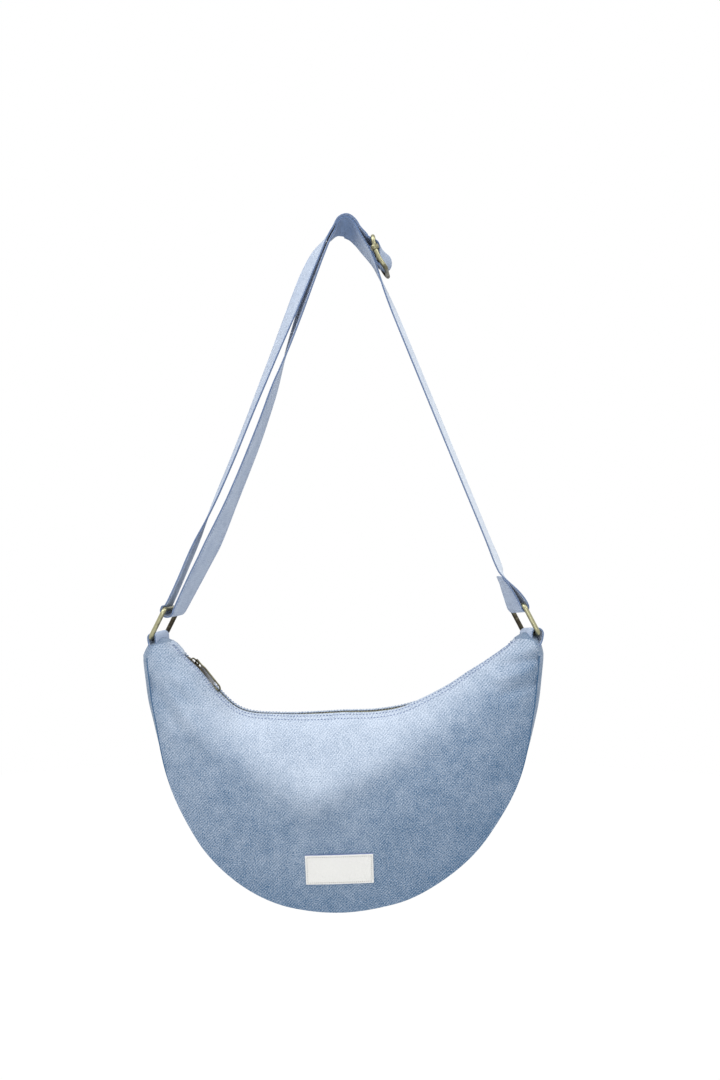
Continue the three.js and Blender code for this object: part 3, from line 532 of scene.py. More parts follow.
# The bag's two faces. Sag of the mouth below the zip's arc, by X: of the front edge, then of the chain and
# the back edge
FRONT_SAG = [(-163.2, 4.0), (-159, 2.5), (-152, 2.5), (-137, 3.0), (-129, 5.4), (-121, 9.0), (-111.6, 12.6),
             (-104, 14.8), (-96, 15.0), (-88.8, 13.6), (-81, 11.4), (-66, 6.5), (-50.8, 2.5), (-31.8, -1.4),
             (-12.8, -4.2), (2.4, -5.4), (32.8, -3.8), (55.6, -3.2), (70.8, -5.2), (86, -6.6), (101, -7.6),
             (116.4, -8.8), (131.6, -7.4), (146.8, -4.6), (157, -1.5), (163.2, 1.5)]
CHAIN_SAG = [(-163.2, 4.0), (-159, 2.4), (-154, 2.4), (-148, 3.2), (-137, 4.0), (-128, 6.2), (-119, 9.6),
             (-111.6, 12.6), (-104, 14.8), (-96, 15.0), (-88.8, 13.6), (-81, 11.4), (-66, 6.5), (-50.8, 2.5),
             (-31.8, -2.0), (-12.8, -5.0), (2.4, -6.2), (32.8, -4.8), (55.6, -3.6), (86, -2.0), (112, 1.2),
             (131, 3.4), (148, 3.2), (154, 1.6), (163.2, 1.5)]
# How far the base seam stands out from a half ellipse, by u
BASE_EASE = [(0, 3), (0.028, 0.9), (0.072, -2.2), (0.116, -2.8), (0.163, -2), (0.211, -0.2), (0.27, 3.6),
             (0.344, 5.2), (0.4, 4.6), (0.442, 2.7), (0.5, 1.0), (0.56, 0.2), (0.6, 1.0), (0.656, 0.6),
             (0.73, 0.5), (0.789, -1.2), (0.837, -1.0), (0.884, -1.0), (0.928, -0.6), (0.972, 1.3), (1, 3)]
# The horns: the gusset's swell there and at the base, the powers that lower a bulge's middle, how far each
# shoulder rises to its tab over a share of u, and which way its edge is rounded out over another share
HORN_SWELL, BASE_SWELL, SHOULDER_POWER, BELLY_POWER = 6.9, 0.4, 1.6, 1.3
LEFT_RISE, RIGHT_RISE, RISE_SHARE = 12, 14, 0.05
LEFT_SHOULDER, RIGHT_SHOULDER, SHOULDER_SHARE = vec(-3.24, 3.105), vec(4.95, 5.625), 0.13


def gusset_swell(u):
    """How far the gusset stands out past its seams: most at the horns."""
    return lerp(HORN_SWELL, BASE_SWELL, ease(np.minimum(u, 1 - u), 0.03, 0.2))


def corner_rise(u):
    """How far the base's ends lie above the ellipse, where each horn's shoulder comes up to its tab."""
    return LEFT_RISE * (1 - ease(u, 0, RISE_SHARE)) + RIGHT_RISE * (1 - ease(1 - u, 0, RISE_SHARE))


def mouth_angle(u):
    """The zip's angle in radians at u, from horn to horn."""
    return np.radians(lerp(-HORN_ANGLE, HORN_ANGLE, u))


def mouth_place(turn, sag):
    """A place on the zip's arc at an angle in radians, let down by the mouth's sag."""
    x = ZIP_RADIUS * np.sin(turn)
    return np.stack([x, ZIP_CENTRE_Z - ZIP_RADIUS * np.cos(turn) - soft_curve(x, sag)], -1)


def outline(u, side=FRONT):
    """Places in the XZ plane at u, from the left horn to the right: the sagging mouth, and the base seam on
    half an ellipse that is eased in or out along its own normal."""
    mouth = mouth_place(mouth_angle(u), FRONT_SAG if side == FRONT else CHAIN_SAG)
    wide, deep = -np.cos(np.pi * u), -np.sin(np.pi * u)
    grow = soft_curve(u, BASE_EASE) - gusset_swell(u)
    normal = unit(np.stack([wide * BELLY_DROP, deep * BAG_WIDTH / 2], -1))
    base = np.stack([BAG_WIDTH / 2 * wide, CORNER_Z + BELLY_DROP * deep + corner_rise(u)], -1)
    return mouth, base + normal * grow[..., None]


def face_place(u, v, side=FRONT):
    """A place on a panel in the XZ plane: from the mouth to the base seam, with each horn's edge rounded
    outwards as a shoulder that fades out towards the middle of the bag."""
    mouth, base = outline(u, side)
    left, right = (1 - ease(share, 0, SHOULDER_SHARE) for share in (u, 1 - u))
    bulge = left[..., None] * LEFT_SHOULDER + right[..., None] * RIGHT_SHOULDER
    swell = np.sin(np.pi * np.clip(v, 0, 1) ** SHOULDER_POWER)
    return lerp(mouth, base, (v * v)[..., None]) + bulge * swell[..., None]


def half_depth(u, v):
    """Half depth of the bag: from the mouth's gap to the base's, with a belly that swells between them."""
    belly = np.sin(np.pi * np.clip(u, 0, 1))
    base = lerp(HORN_HALF_DEPTH, BASE_HALF_DEPTH, belly)
    swell = lerp(HORN_BULGE, BELLY_BULGE, belly)
    bulge = swell * np.sin(np.pi * np.maximum(v, 0) ** BELLY_POWER)
    return MOUTH_HALF_GAP + (base - MOUTH_HALF_GAP) * v + bulge


# Soft folds of the front cloth: both ends (x, z), half width and height
FOLDS = [
    ((-150, -455), (-29, -534), 20, 4.0),
    ((-29, -534), (80, -466), 18, 5.0),
    ((70, -470), (140, -442), 18, 2.0),
    ((-60, -480), (40, -478), 22, -3.0),
    ((-168, -430), (-130, -500), 10, -1.8),
    ((-150, -420), (-105, -470), 9, 1.6),
    ((184, -404), (142, -414), 5, -3.4),
    ((182, -414), (136, -424), 5, 2.4),
    ((184, -426), (146, -438), 5, -2.4),
    ((-182, -424), (-150, -470), 7, -2.2),
    ((-158, -428), (-128, -462), 5, -1.8),
    ((-140, -428), (-96, -472), 5, 1.6),
]
# The line along which the upper belly turns over, by X
TURN_LINE = [(-190, -436), (-137, -462), (-100, -486), (-65, -514), (-29, -534), (5, -520), (40, -499),
             (79, -474), (129, -440), (190, -404)]
# Darker and paler patches: place (x, z), reach and amount
TONE_PATCHES = [(-146, -424, 12, -0.07), (-142, -457, 15, 0.08), (-136, -500, 12, -0.06), (-30, -515, 12, 0.08),
        (25, -455, 30, 0.08), (66, -492, 16, 0.05), (172, -412, 14, -0.06), (-60, -470, 14, -0.05)]
# Tone of the panels, partly wash and partly painted light and shade: paler over the turn line at the left
# and in the middle, how much of it is left at the right, then painted light by the mouth, painted shade by
# the seam, painted light on the left flank and painted shade on the right, all over, and painted shade low
# down
PALE_LEFT, PALE_MIDDLE, RIGHT_SHARE = 0.12, 0.36, 0.75
MOUTH_TONE, SEAM_TONE, LEFT_TONE, RIGHT_TONE, PANEL_TONE, LOW_TONE = 0.08, -0.06, 0.07, -0.045, -0.14, -0.05
PANEL_U, PANEL_V, FOLD_LEVEL, FOLD_FADE = 200, 100, 0.35, 0.045


def slump(x, z):
    """Height of the soft folds: each is a ridge with a bell-shaped section that fades out at both ends."""
    total = np.zeros_like(x)
    for start, end, half, height in FOLDS:
        run = vec(end[0] - start[0], end[1] - start[1])
        length = np.linalg.norm(run)
        run = run / length
        share = ((x - start[0]) * run[0] + (z - start[1]) * run[1]) / length
        away = (x - start[0]) * run[1] - (z - start[1]) * run[0]
        taper = np.exp(-np.clip(np.abs(share - 0.5) - FOLD_LEVEL, 0, None) ** 2 / FOLD_FADE)
        total = total + height * taper * np.exp(-(away / half) ** 2)
    return total


def panel_face(u, v, side):
    """A place on a panel's outer face: it leaves the zip nearly level and turns down to the base seam."""
    place = face_place(u, v, side)
    free = ease(v, 0.1, 0.35) * (1 - ease(v, 0.96, 1.0))
    depth = half_depth(u, v) + free * slump(-side * place[..., 0], place[..., 1])
    return np.stack([place[..., 0], side * depth, place[..., 1]], -1)


def find_on_front(x, z, halvings=40):
    """The shares (u, v) of the front face at places in the XZ plane, by halving the range of u."""
    low, high = np.zeros_like(x), np.ones_like(x)
    for _ in range(halvings):
        u = (low + high) / 2
        mouth, base = outline(u)
        drop = np.clip((z - mouth[..., 1]) / (base[..., 1] - mouth[..., 1]), 0, 1)
        left = lerp(mouth[..., 0], base[..., 0], drop) < x
        low, high = np.where(left, u, low), np.where(left, high, u)
    return u, np.sqrt(drop)


def shares(along, down):
    """Grids of u and v over ranges (first, last, count)."""
    return np.meshgrid(np.linspace(*along), np.linspace(*down), indexing="ij")


def outward(points, side):
    """Unit normals of a panel's grid, turned away from the inside of the bag."""
    normal = grid_normals(points)
    return normal * np.sign(np.sum(normal[..., 1] * side))


def panel_wash_and_light(outer):
    """Partly wash and partly painted light and shade: paler above the line where the belly turns over, with
    painted light by the mouth and the left flank, and painted shade below it, to the right and by the base
    seam."""
    x, z = outer[..., 0], outer[..., 2]
    over = z - soft_curve(x, TURN_LINE)
    pale = lerp(PALE_LEFT, PALE_MIDDLE, ease(x, -165, -90)) * lerp(1, RIGHT_SHARE, ease(x, 90, 170))
    added_tone = sum(amount * np.exp(-((x - at) ** 2 + (z - height) ** 2) / reach ** 2)
               for at, height, reach, amount in TONE_PATCHES)
    v = np.linspace(0, 1, outer.shape[1])
    edges = MOUTH_TONE * (1 - ease(v, 0.15, 0.45)) + SEAM_TONE * ease(v, 0.9, 1)
    flanks = LEFT_TONE * ease(-x, 90, 150) * ease(-z, 435, 475) + RIGHT_TONE * ease(x, -120, 170)
    return ease(over, -26, 30) * pale + added_tone + edges + flanks + PANEL_TONE + LOW_TONE * ease(-over, 0, 90)


def panel_piece(name, side):
    """A panel's outer face on an even grid of u and v, thickened inwards."""
    outer = panel_face(*shares((0, 1, PANEL_U + 1), (0, 1, PANEL_V + 1)), side)
    cloth = cloth_shell(outer, CLOTH, outer[..., [0, 2]], -outward(outer, side), panel_wash_and_light(outer))
    return make_piece(name, [cloth], DENIM)


LINING_THICK, LINING_INSET, LINING_ALONG, LINING_DOWN = 0.6, 3.2, (0.08, 0.92, 61), (0.3, 0.95, 31)


def lining_piece(name, side):
    """Cotton that follows the inside of a panel, short of its seams."""
    outer = panel_face(*shares(LINING_ALONG, LINING_DOWN), side)
    inward = -outward(outer, side)
    outer = outer + inward * LINING_INSET
    return make_piece(name, [cloth_shell(outer, LINING_THICK, outer[..., [0, 2]], inward)], COTTON)


front_cloth, back_cloth = both_sides(panel_piece, "cloth")
front_lining, back_lining = both_sides(lining_piece, "lining")

BAG_MIDDLE, SEAM_PROUD, GUSSET_TONE = vec(0, -480), 0.8, -0.2
BASE_STEPS, HORN_STEPS, GUSSET_STEPS = 181, 16, 17
# How the gusset and its lining sit: inset, gap at each side and thickness
GUSSET_FIT, BASE_LINING_FIT, BASE_LINING_ENDS = (0.2, 0.5, 1.3), (3.0, 6.5, LINING_THICK), (6, -6)


def gusset_path(horns):
    """Places along the gusset in the XZ plane, its half widths and swell: down a horn's edge, round the base
    and up the other horn's edge."""
    u = np.linspace(0, 1, BASE_STEPS)
    v = np.linspace(0, 1, HORN_STEPS)[:-1] if horns else np.zeros(0)
    along = np.concatenate([np.zeros_like(v), u, np.ones_like(v)])
    down = np.concatenate([v, np.ones_like(u), v[::-1]])
    swell = gusset_swell(along) * ease(down, 0.1, 0.8) + SEAM_PROUD
    return face_place(along, down), half_depth(along, down), swell


def gusset_piece(name, horns, inset, side_gap, thick, material, ends=(0, None)):
    """A band round the bag: straight across from seam to seam, swelling out between them as a parabola."""
    place, half, swell = (values[ends[0]:ends[1]] for values in gusset_path(horns))
    along = unit(np.gradient(place, axis=0))
    out = np.stack([along[:, 1], -along[:, 0]], -1)
    out = out * np.sign(np.sum(out * (place - BAG_MIDDLE), -1, keepdims=True))
    share = np.linspace(-1, 1, GUSSET_STEPS)
    rise = swell[:, None] * (1 - share[None] ** 2) - inset
    flat = place[:, None] + out[:, None] * rise[..., None]
    y = (half - side_gap)[:, None] * share[None]
    points = np.stack([flat[..., 0], y, flat[..., 1]], -1)
    weave = np.stack(np.broadcast_arrays(arc_length(place)[:, None], y), -1)
    inward = -np.stack(np.broadcast_arrays(out[:, None, 0], 0.0, out[:, None, 1]), -1)
    inward = np.broadcast_to(inward, points.shape)
    shade = np.full(points.shape[:2], GUSSET_TONE)
    return make_piece(name, [cloth_shell(points, thick, weave, inward, shade)], material)


gusset = gusset_piece("gusset", True, *GUSSET_FIT, DENIM)
base_lining = gusset_piece("base_lining", False, *BASE_LINING_FIT, COTTON, BASE_LINING_ENDS)


# The zip
def zip_place(turn, y, depth):
    """A place by the zip: an angle in radians, Y and a depth out from its arc, let down by its sag."""
    radius = ZIP_RADIUS + depth
    z = ZIP_CENTRE_Z - radius * np.cos(turn) - soft_curve(ZIP_RADIUS * np.sin(turn), CHAIN_SAG)
    return np.stack(np.broadcast_arrays(radius * np.sin(turn), y, z), -1)


TOOTH_ANGLE = TOOTH_PITCH / ZIP_RADIUS
TOOTH_COUNT = int(2 * math.radians(CHAIN_ANGLE) / TOOTH_ANGLE)
TAPE_MIDDLE = TAPE_DEPTH + TAPE_THICK / 2
CHAIN_HALF = TOOTH_COUNT * TOOTH_ANGLE / 2
TOOTH_SHIFT = {FRONT: 0.35, BACK: 0.85}
# A tooth's sections: reach from the chain's middle, half length along it and half thickness
TOOTH_REACH, TOOTH_WIDE, TOOTH_THICK = np.array([
    (-0.5, 0.45, 0.6), (0.3, 0.62, 1.1), (0.9, 0.6, 1.25), (2.4, 0.72, 1.4), (3.1, 0.6, 1.1)]).T[..., None]
TOOTH_POWER, TOOTH_SHADE = 6, 0.25
BEAD_Y, BEAD_RADIUS, BEAD_STEPS, BEAD_DARK = 3.0, 0.75, 140, 0.5
TAPE_EDGE, TAPE_SHARE, TAPE_PAST, TAPE_ALONG, TAPE_DOWN = 3.2, 0.14, 2, 141, 8


def teeth_piece(name, side):
    """One row of teeth on the bead along the tape's edge. Each is a block with a nub, whose section is a
    circle squared off by a power mean."""
    middle = -CHAIN_HALF + (np.arange(TOOTH_COUNT - 1) + TOOTH_SHIFT[side]) * TOOTH_ANGLE
    around = np.stack([np.cos(corners(8)), np.sin(corners(8))], -1)
    profile = around / (np.sum(np.abs(around) ** TOOTH_POWER, -1) ** (1 / TOOTH_POWER))[:, None]
    turn = middle[:, None, None] + (TOOTH_WIDE * profile[:, 0])[None] / ZIP_RADIUS
    points = zip_place(turn, side * TOOTH_REACH, TAPE_MIDDLE + TOOTH_THICK * profile[:, 1])
    # Painted shade on the lower half of each tooth, the half turned into the bag
    added_tone = np.broadcast_to(TOOTH_SHADE * (profile[:, 1] >= 0), points.shape[:3])
    path = zip_place(np.linspace(-CHAIN_HALF, CHAIN_HALF, BEAD_STEPS), side * BEAD_Y, TAPE_MIDDLE)
    bead = wire_shell(path, ACROSS_BAG, BEAD_RADIUS, 8, ring=False, tone=BEAD_DARK)
    return make_piece(name, [tubes(points, tone=added_tone), bead], BRASS)


def tape_piece(name, side):
    """The woven tape: from beside the teeth, under the edge of the panel and a little way down."""
    ends = (CHAIN_ANGLE + TAPE_PAST) / HORN_ANGLE / 2
    u, v = shares((0.5 - ends, 0.5 + ends, TAPE_ALONG), (0, TAPE_SHARE, TAPE_DOWN))
    face = panel_face(u, v, side)
    under = face - outward(face, side) * TAPE_DEPTH
    inner = zip_place(mouth_angle(u[:, :1]), side * TAPE_EDGE, TAPE_DEPTH)
    points = np.concatenate([inner, under], 1)
    steps = np.linalg.norm(np.diff(points, axis=1), axis=-1)
    across = np.concatenate([np.zeros((len(u), 1)), np.cumsum(steps, 1)], 1)
    weave = np.stack(np.broadcast_arrays(arc_length(points[:, 0])[:, None], across), -1)
    down = -outward(points, side)
    down = down * np.sign(-np.sum(down[..., 2]))
    return make_piece(name, [cloth_shell(points, TAPE_THICK, weave, down)], TAPE)


STOP_SIZE = (6.0, 3.2, 0.9)
# A stop's sections: distance past the last tooth and share of its full size
STOP_STEPS, STOP_SHARES = np.array([(0.3, 0.8), (0.5, 0.93), (0.9, 1), (2.1, 1), (2.5, 0.93), (2.7, 0.8)]).T
STOP_DARK = 0.1
END_SWELL, END_PROUD, END_HALF, END_THICK = {LEFT: 1.7, RIGHT: 0.5}, 0.3, 5.2, 1.2
END_PAST, END_ALONG, END_ACROSS, END_TONE = 1.0, 14, 13, 0.25


def stop_piece(name, sign):
    """A folded metal stop that pinches both tapes just past the last tooth."""
    profile = STOP_SHARES[:, None, None] * rounded_loop(*STOP_SIZE, steps=4, rail=0)
    turn = sign * (CHAIN_HALF + STOP_STEPS / ZIP_RADIUS)
    points = zip_place(turn[:, None], profile[..., 0], TAPE_MIDDLE + profile[..., 1])
    return make_piece(name, [tubes(points[None], tone=STOP_DARK)], BRASS)


def zip_end_piece(name, sign):
    """Folded cloth over the end of the zip: a strip along the mouth that swells between the two panels."""
    first = 0.5 + sign * (CHAIN_ANGLE + END_PAST) / HORN_ANGLE / 2
    turn = mouth_angle(np.linspace(first, (1 + sign) / 2, END_ALONG))[:, None]
    share = np.linspace(-1, 1, END_ACROSS)
    grow = ease(np.arange(float(END_ALONG)), 0, 3)[:, None]
    rise = END_SWELL[sign] * (1 - share ** 2)[None] * grow + END_PROUD
    y = np.broadcast_to(END_HALF * share, rise.shape)
    points = zip_place(turn, y, -rise)
    weave = np.stack(np.broadcast_arrays(ZIP_RADIUS * turn, y), -1)
    inward = zip_place(turn, y, 1.0 - rise) - points
    shade = np.full(rise.shape, END_TONE)
    return make_piece(name, [cloth_shell(points, END_THICK, weave, inward, shade)], DENIM)


front_teeth, back_teeth = both_sides(teeth_piece, "teeth")
front_tape, back_tape = both_sides(tape_piece, "tape")
left_stop, right_stop = both_ends(stop_piece, "stop")
left_zip_end, right_zip_end = both_ends(zip_end_piece, "zip_end")

# The slider's own axes: along the chain, across it, and away from the bag
SLIDER_TURN = math.radians(SLIDER_REST)
SLIDER_AT = zip_place(np.array(SLIDER_TURN), 0.0, 0.0)
SLIDER_AXES = np.array([[math.cos(SLIDER_TURN), 0, math.sin(SLIDER_TURN)], [0, 1, 0],
                        [-math.sin(SLIDER_TURN), 0, math.cos(SLIDER_TURN)]])
WING_MIDDLE, WING_HALF, WING_WIDE, WING_NARROW, WING_THICK, WING_EDGE = -1.5, 7.5, 4.7, 3.7, 1.5, 0.5
UPPER_WING, LOWER_WING, UPPER_DARK, LOWER_DARK = -0.45, -5.35, 0.7, 0.6
POST_X, POST_HALF, POST_LOW, POST_TOP, POST_EDGE = -3.2, (1.3, 0.55), -4.2, 0.0, 0.1
BRIDGE_REACH, BRIDGE_FOOT, BRIDGE_LOW, BRIDGE_BEND, BRIDGE_WIRE = 4.2, 1.0, 1.9, (1.8, 1.7), 0.75
BRIDGE_FLAT, BRIDGE_DARK = 1.5, 0.5
WING_POWER, WING_TIP, EDGE_SHARE = 7, 0.001, 0.3


def on_slider(points):
    """Turns places in the slider's own axes to the bag's."""
    return SLIDER_AT + points @ SLIDER_AXES


def pressed_plate(outline_xy, low, high, edge, tone):
    """A plate with rounded edges: its outline is carried up from low to high, drawn in at both faces.
    The outline runs from its nose round to its nose, so that its two halves mirror each other."""
    bevel = edge * EDGE_SHARE
    heights = vec(low, low + bevel, low + edge, high - edge, high - bevel, high)
    draws = vec(edge, bevel, 0, 0, bevel, edge)
    normal = np.roll(outline_xy, -1, 0) - np.roll(outline_xy, 1, 0)
    normal = unit(np.stack([-normal[:, 1], normal[:, 0]], -1))
    inwards = normal * np.sign(np.sum(-outline_xy * normal))
    flat = outline_xy[None] + inwards[None] * draws[:, None, None]
    points = np.concatenate([flat, np.broadcast_to(heights[:, None, None], flat.shape[:2] + (1,))], -1)
    return tubes(on_slider(points)[None], tone=tone)


def slider_outline():
    """Half outline of the slider's wing, wide by the divider and narrow at the mouth, and its mirror image.
    Its width falls off at both ends as the root of one less the seventh power of the way along."""
    share = np.linspace(0, 1, 24)
    along = np.cos(np.pi * share)
    y = lerp(WING_WIDE, WING_NARROW, share) * np.clip(1 - np.abs(along) ** WING_POWER, WING_TIP, 1) ** 0.5
    half = np.stack([WING_MIDDLE - WING_HALF * along, y], -1)
    return np.concatenate([half, half[::-1] * vec(1, -1)])


def slider_piece():
    """Two wings, above the chain and below it, joined by a post."""
    wing = slider_outline()
    post = np.stack([POST_X + POST_HALF[0] * np.cos(corners(12)), POST_HALF[1] * np.sin(corners(12))], -1)
    shells = [pressed_plate(wing, UPPER_WING, UPPER_WING + WING_THICK, WING_EDGE, UPPER_DARK),
              pressed_plate(wing, LOWER_WING, LOWER_WING + WING_THICK, WING_EDGE, LOWER_DARK),
              pressed_plate(post, POST_LOW, POST_TOP, POST_EDGE, LOWER_DARK)]
    return make_piece("slider_body", shells, BRASS)


def bridge_piece():
    """The bridge on the slider: a flat bar bent up, along and down again with round shoulders."""
    bend = np.linspace(np.pi / 2, 0, 6)
    shoulder = BRIDGE_REACH - BRIDGE_BEND[0]
    left = np.stack([-shoulder - BRIDGE_BEND[0] * np.sin(bend), 0 * bend,
                     BRIDGE_LOW + BRIDGE_BEND[1] * np.cos(bend)], -1)
    half = np.concatenate([[vec(-BRIDGE_REACH, 0, BRIDGE_FOOT)], left])
    path = np.concatenate([half, half[::-1] * vec(-1, 1, 1)])
    shell = wire_shell(path, ACROSS_BAG, BRIDGE_WIRE, 12, ring=False, squeeze=BRIDGE_FLAT, tone=BRIDGE_DARK)
    return make_piece("slider_bridge", [moved(shell, on_slider)], BRASS)


# The puller: how it lies on the slider, its outline, its rim and the plate in it
PULLER_TILT, PULLER_YAW, PULLER_ROLL, PULLER_LIFT = -6, 18, 48, 3.4
PULLER_START, PULLER_SHANK, NECK_HALF, SHANK_HALF, NECK_ENDS = 0.4, 34, 2.3, 3.6, (6, 13)
RIM_FLAT, RIM_TOP, RIM_SHADE = 1.25, 0.3, 0.5
RIM_WIRE, PLATE_ENDS, PLATE_LIFT, PLATE_THICK, PLATE_GAP = 0.72, (7.5, 28.6), 0.35, 0.8, 0.2


def on_puller(points):
    """Puts the puller's axes on the slider: rolled about its length, turned forward, tilted and lifted."""
    roll, tilt, yaw = (math.radians(angle) for angle in (PULLER_ROLL, PULLER_TILT, PULLER_YAW))
    x, y, z = points[:, 0], points[:, 1], points[:, 2]
    y, z = y * math.cos(roll) + z * math.sin(roll), z * math.cos(roll) - y * math.sin(roll)
    x, y = x * math.cos(yaw) + y * math.sin(yaw), y * math.cos(yaw) - x * math.sin(yaw)
    x, z = x * math.cos(tilt) - z * math.sin(tilt), x * math.sin(tilt) + z * math.cos(tilt)
    return on_slider(np.stack([x, y, z + PULLER_LIFT], -1))


def puller_half_width(x):
    """Half width of the puller's outline: a slim neck that widens to the shank."""
    return lerp(NECK_HALF, SHANK_HALF, ease(x, *NECK_ENDS))


def puller_rim_piece():
    """A rim of bent metal round the puller's outline, with a painted highlight on top and painted shade
    below, that leaves an open slot at the tip.
    """
    x = np.linspace(PULLER_START, PULLER_SHANK, 40)
    tip = np.linspace(np.pi / 2, -np.pi / 2, 13)[1:-1]
    upper = np.stack([x, puller_half_width(x), 0 * x], -1)
    nose = np.stack([PULLER_SHANK + SHANK_HALF * np.cos(tip), SHANK_HALF * np.sin(tip), 0 * tip], -1)
    path = np.concatenate([upper, nose, upper[::-1] * vec(1, -1, 1)])
    rim = wire_shell(path, UP, RIM_WIRE, 10, squeeze=RIM_FLAT)
    # Painted highlight on the top of the rim, painted shade on the rest
    bright = np.where(rim[0][:, 2] > RIM_TOP, 0.0, RIM_SHADE)
    return make_piece("puller_rim", [moved(toned(rim, bright), on_puller)], BRASS)


def puller_plate_piece():
    """The hatched plate within the rim."""
    x, share = shares((*PLATE_ENDS, 30), (-1, 1, 9))
    y = share * (puller_half_width(x) - PLATE_GAP)
    top = np.stack([x, y, np.full_like(x, PLATE_LIFT)], -1)
    shell = cloth_shell(top, PLATE_THICK, np.stack([x, y], -1), np.broadcast_to(-UP, top.shape))
    return make_piece("puller_plate", [moved(shell, on_puller)], HATCHED)


slider_body = slider_piece()
slider_bridge = bridge_piece()
puller_rim = puller_rim_piece()
puller_plate = puller_plate_piece()

# The rings and their tabs. The right ring hangs a little out of its place, and its tab is looser and paler
RIGHT_SHIFT, RIGHT_TILT, RING_SLACK = vec(2.7, 0, 2.2), 5, 1.2
WIRE_EXTRA, RING_EASE, RING_CORNER = 0.12, 2, 4.2
# How much painted shade a wire has on the sides turned away from the light, and towards the back over a
# range across it
RING_SHADE, RING_BACK, FRAME_SHADE, FRAME_DARK, FRAME_BACK, BACK_SHADE = 0.34, (6, 14), 0.36, 0.1, (5, 16), 0.6
TAB_LEG, TAB_LEAN, TAB_SLACK, TAB_TONE = 16, 0.026, {LEFT: 0, RIGHT: 1.6}, {LEFT: 0.2, RIGHT: 0.4}
RIGHT_DIP = math.sin(math.radians(RIGHT_TILT))


def ring_axes(sign):
    """A ring's hinge point, and its axes out from the bag and across the strap."""
    twist = sign * math.radians(RING_TWIST)
    out = vec(math.cos(twist), math.sin(twist), 0)
    across = vec(-math.sin(twist), math.cos(twist), 0)
    return vec(sign * RING_X, 0, RING_Z), out, across


def hung_axes(sign):
    """The axes of a ring as it hangs: the right one is moved, with its front side up."""
    at, out, across = ring_axes(sign)
    if sign == RIGHT:
        at, across = at + RIGHT_SHIFT, across * math.cos(math.radians(RIGHT_TILT)) - UP * RIGHT_DIP
    return at, out, across


def ring_lean(sign):
    """Directions of a leaning ring: from its lower bar to its upper bar, and square to its plane."""
    out = ring_axes(sign)[1]
    aside, upright = math.sin(math.radians(RING_LEAN)), math.cos(math.radians(RING_LEAN))
    return -sign * aside * out + upright * UP, sign * upright * out + aside * UP


def ring_piece(name, sign):
    """A bent wire ring: a rounded rectangle that stands on its lower bar, with painted shade towards the
    back and on the sides turned away from the light.
    """
    at, _, across = hung_axes(sign)
    up, face = ring_lean(sign)
    up = unit(np.cross(across, np.cross(up, across)))
    reach = RING_REACH + RING_SLACK
    loop = rounded_loop(STRAP_WIDTH + RING_EASE + RING_WIRE, reach, RING_CORNER)
    path = at + loop[:, :1] * across + (loop[:, 1:] + reach / 2) * up
    shell = wire_shell(path, face, RING_WIRE / 2 + WIRE_EXTRA, 22)
    # Painted light on the front and top of the wire, painted shade on its far sides and towards the back
    tone = lit_side_tone(shell[0], len(path), RING_SHADE) + BACK_SHADE * ease(shell[0][:, 1], *RING_BACK)
    return make_piece(name, [toned(shell, tone)], BRASS)


STITCH_DIP, STITCH_WIDE = 0.28, 0.9


def webbing_profile():
    """Places across the webbing and through it: flat faces, thinner at the stitch rows, and round edges."""
    half, thick = STRAP_WIDTH / 2, STRAP_THICK / 2
    across = half * np.sin(np.linspace(-np.pi / 2, np.pi / 2, 23))
    edge = np.clip((np.abs(across) - (half - thick)) / thick, 0, 1)
    sewn = 1 - STITCH_DIP * np.exp(-((np.abs(across) - (half - STITCH_INSET)) / STITCH_WIDE) ** 2)
    depth = thick * np.sqrt(np.clip(1 - edge ** 2, 0.02, 1)) * sewn
    return np.concatenate([across, across[::-1]]), np.concatenate([depth, -depth[::-1]])


# How much light is painted on one face of the webbing and shade on the other
FACE_LIGHT = 0.1


def webbing(path, across, start=0.0, tone=0.0, face_light=FACE_LIGHT):
    """Flat webbing along a path, held square to it, with its own direction across at every place.
    The face to its left, seen along the path from above, gets painted light by the amount given last and the
    other one painted shade."""
    along = unit(np.gradient(path, axis=0))
    side = unit(across - along * np.sum(across * along, -1, keepdims=True))
    out = np.cross(side, along)
    wide, deep = webbing_profile()
    points = path[:, None] + wide[None, :, None] * side[:, None] + deep[None, :, None] * out[:, None]
    weave = np.stack(np.broadcast_arrays((start + arc_length(path))[:, None], wide[None]), -1)
    shade = np.reshape(tone, (-1, 1)) + np.reshape(face_light, (-1, 1)) * np.sign(deep)
    shade = np.broadcast_to(shade, points.shape[:2])
    return tubes(points[None], weave=weave[None], tone=shade[None])


def tab_piece(name, sign):
    """A cloth tab: up out of the horn, over the ring's lower bar and down again. Its legs lean into the horn
    by the square of their depth."""
    at, out, across = hung_axes(sign)
    turn = np.pi * np.linspace(1, 0, 17)
    legs = np.linspace(-TAB_LEG, -1, 10)
    layer = TURN_LAYER + TAB_SLACK[sign]
    x = np.concatenate([np.full(10, -layer), layer * np.cos(turn), np.full(10, layer)])
    z = np.concatenate([legs, layer * np.sin(turn), legs[::-1]])
    x = x + sign * TAB_LEAN * np.minimum(z, 0) * np.abs(z)
    path = at + x[:, None] * out + z[:, None] * UP
    return make_piece(name, [webbing(path, across, tone=TAB_TONE[sign])], TAB_DENIM)


left_wire_ring, right_wire_ring = both_ends(ring_piece, "wire_ring")
left_cloth_tab, right_cloth_tab = both_ends(tab_piece, "cloth_tab")


# The strap
def upper_bar(sign):
    """The middle of a ring's upper bar, and the direction across the strap there."""
    at, _, across = ring_axes(sign)
    return at + ring_lean(sign)[0] * RING_REACH, across


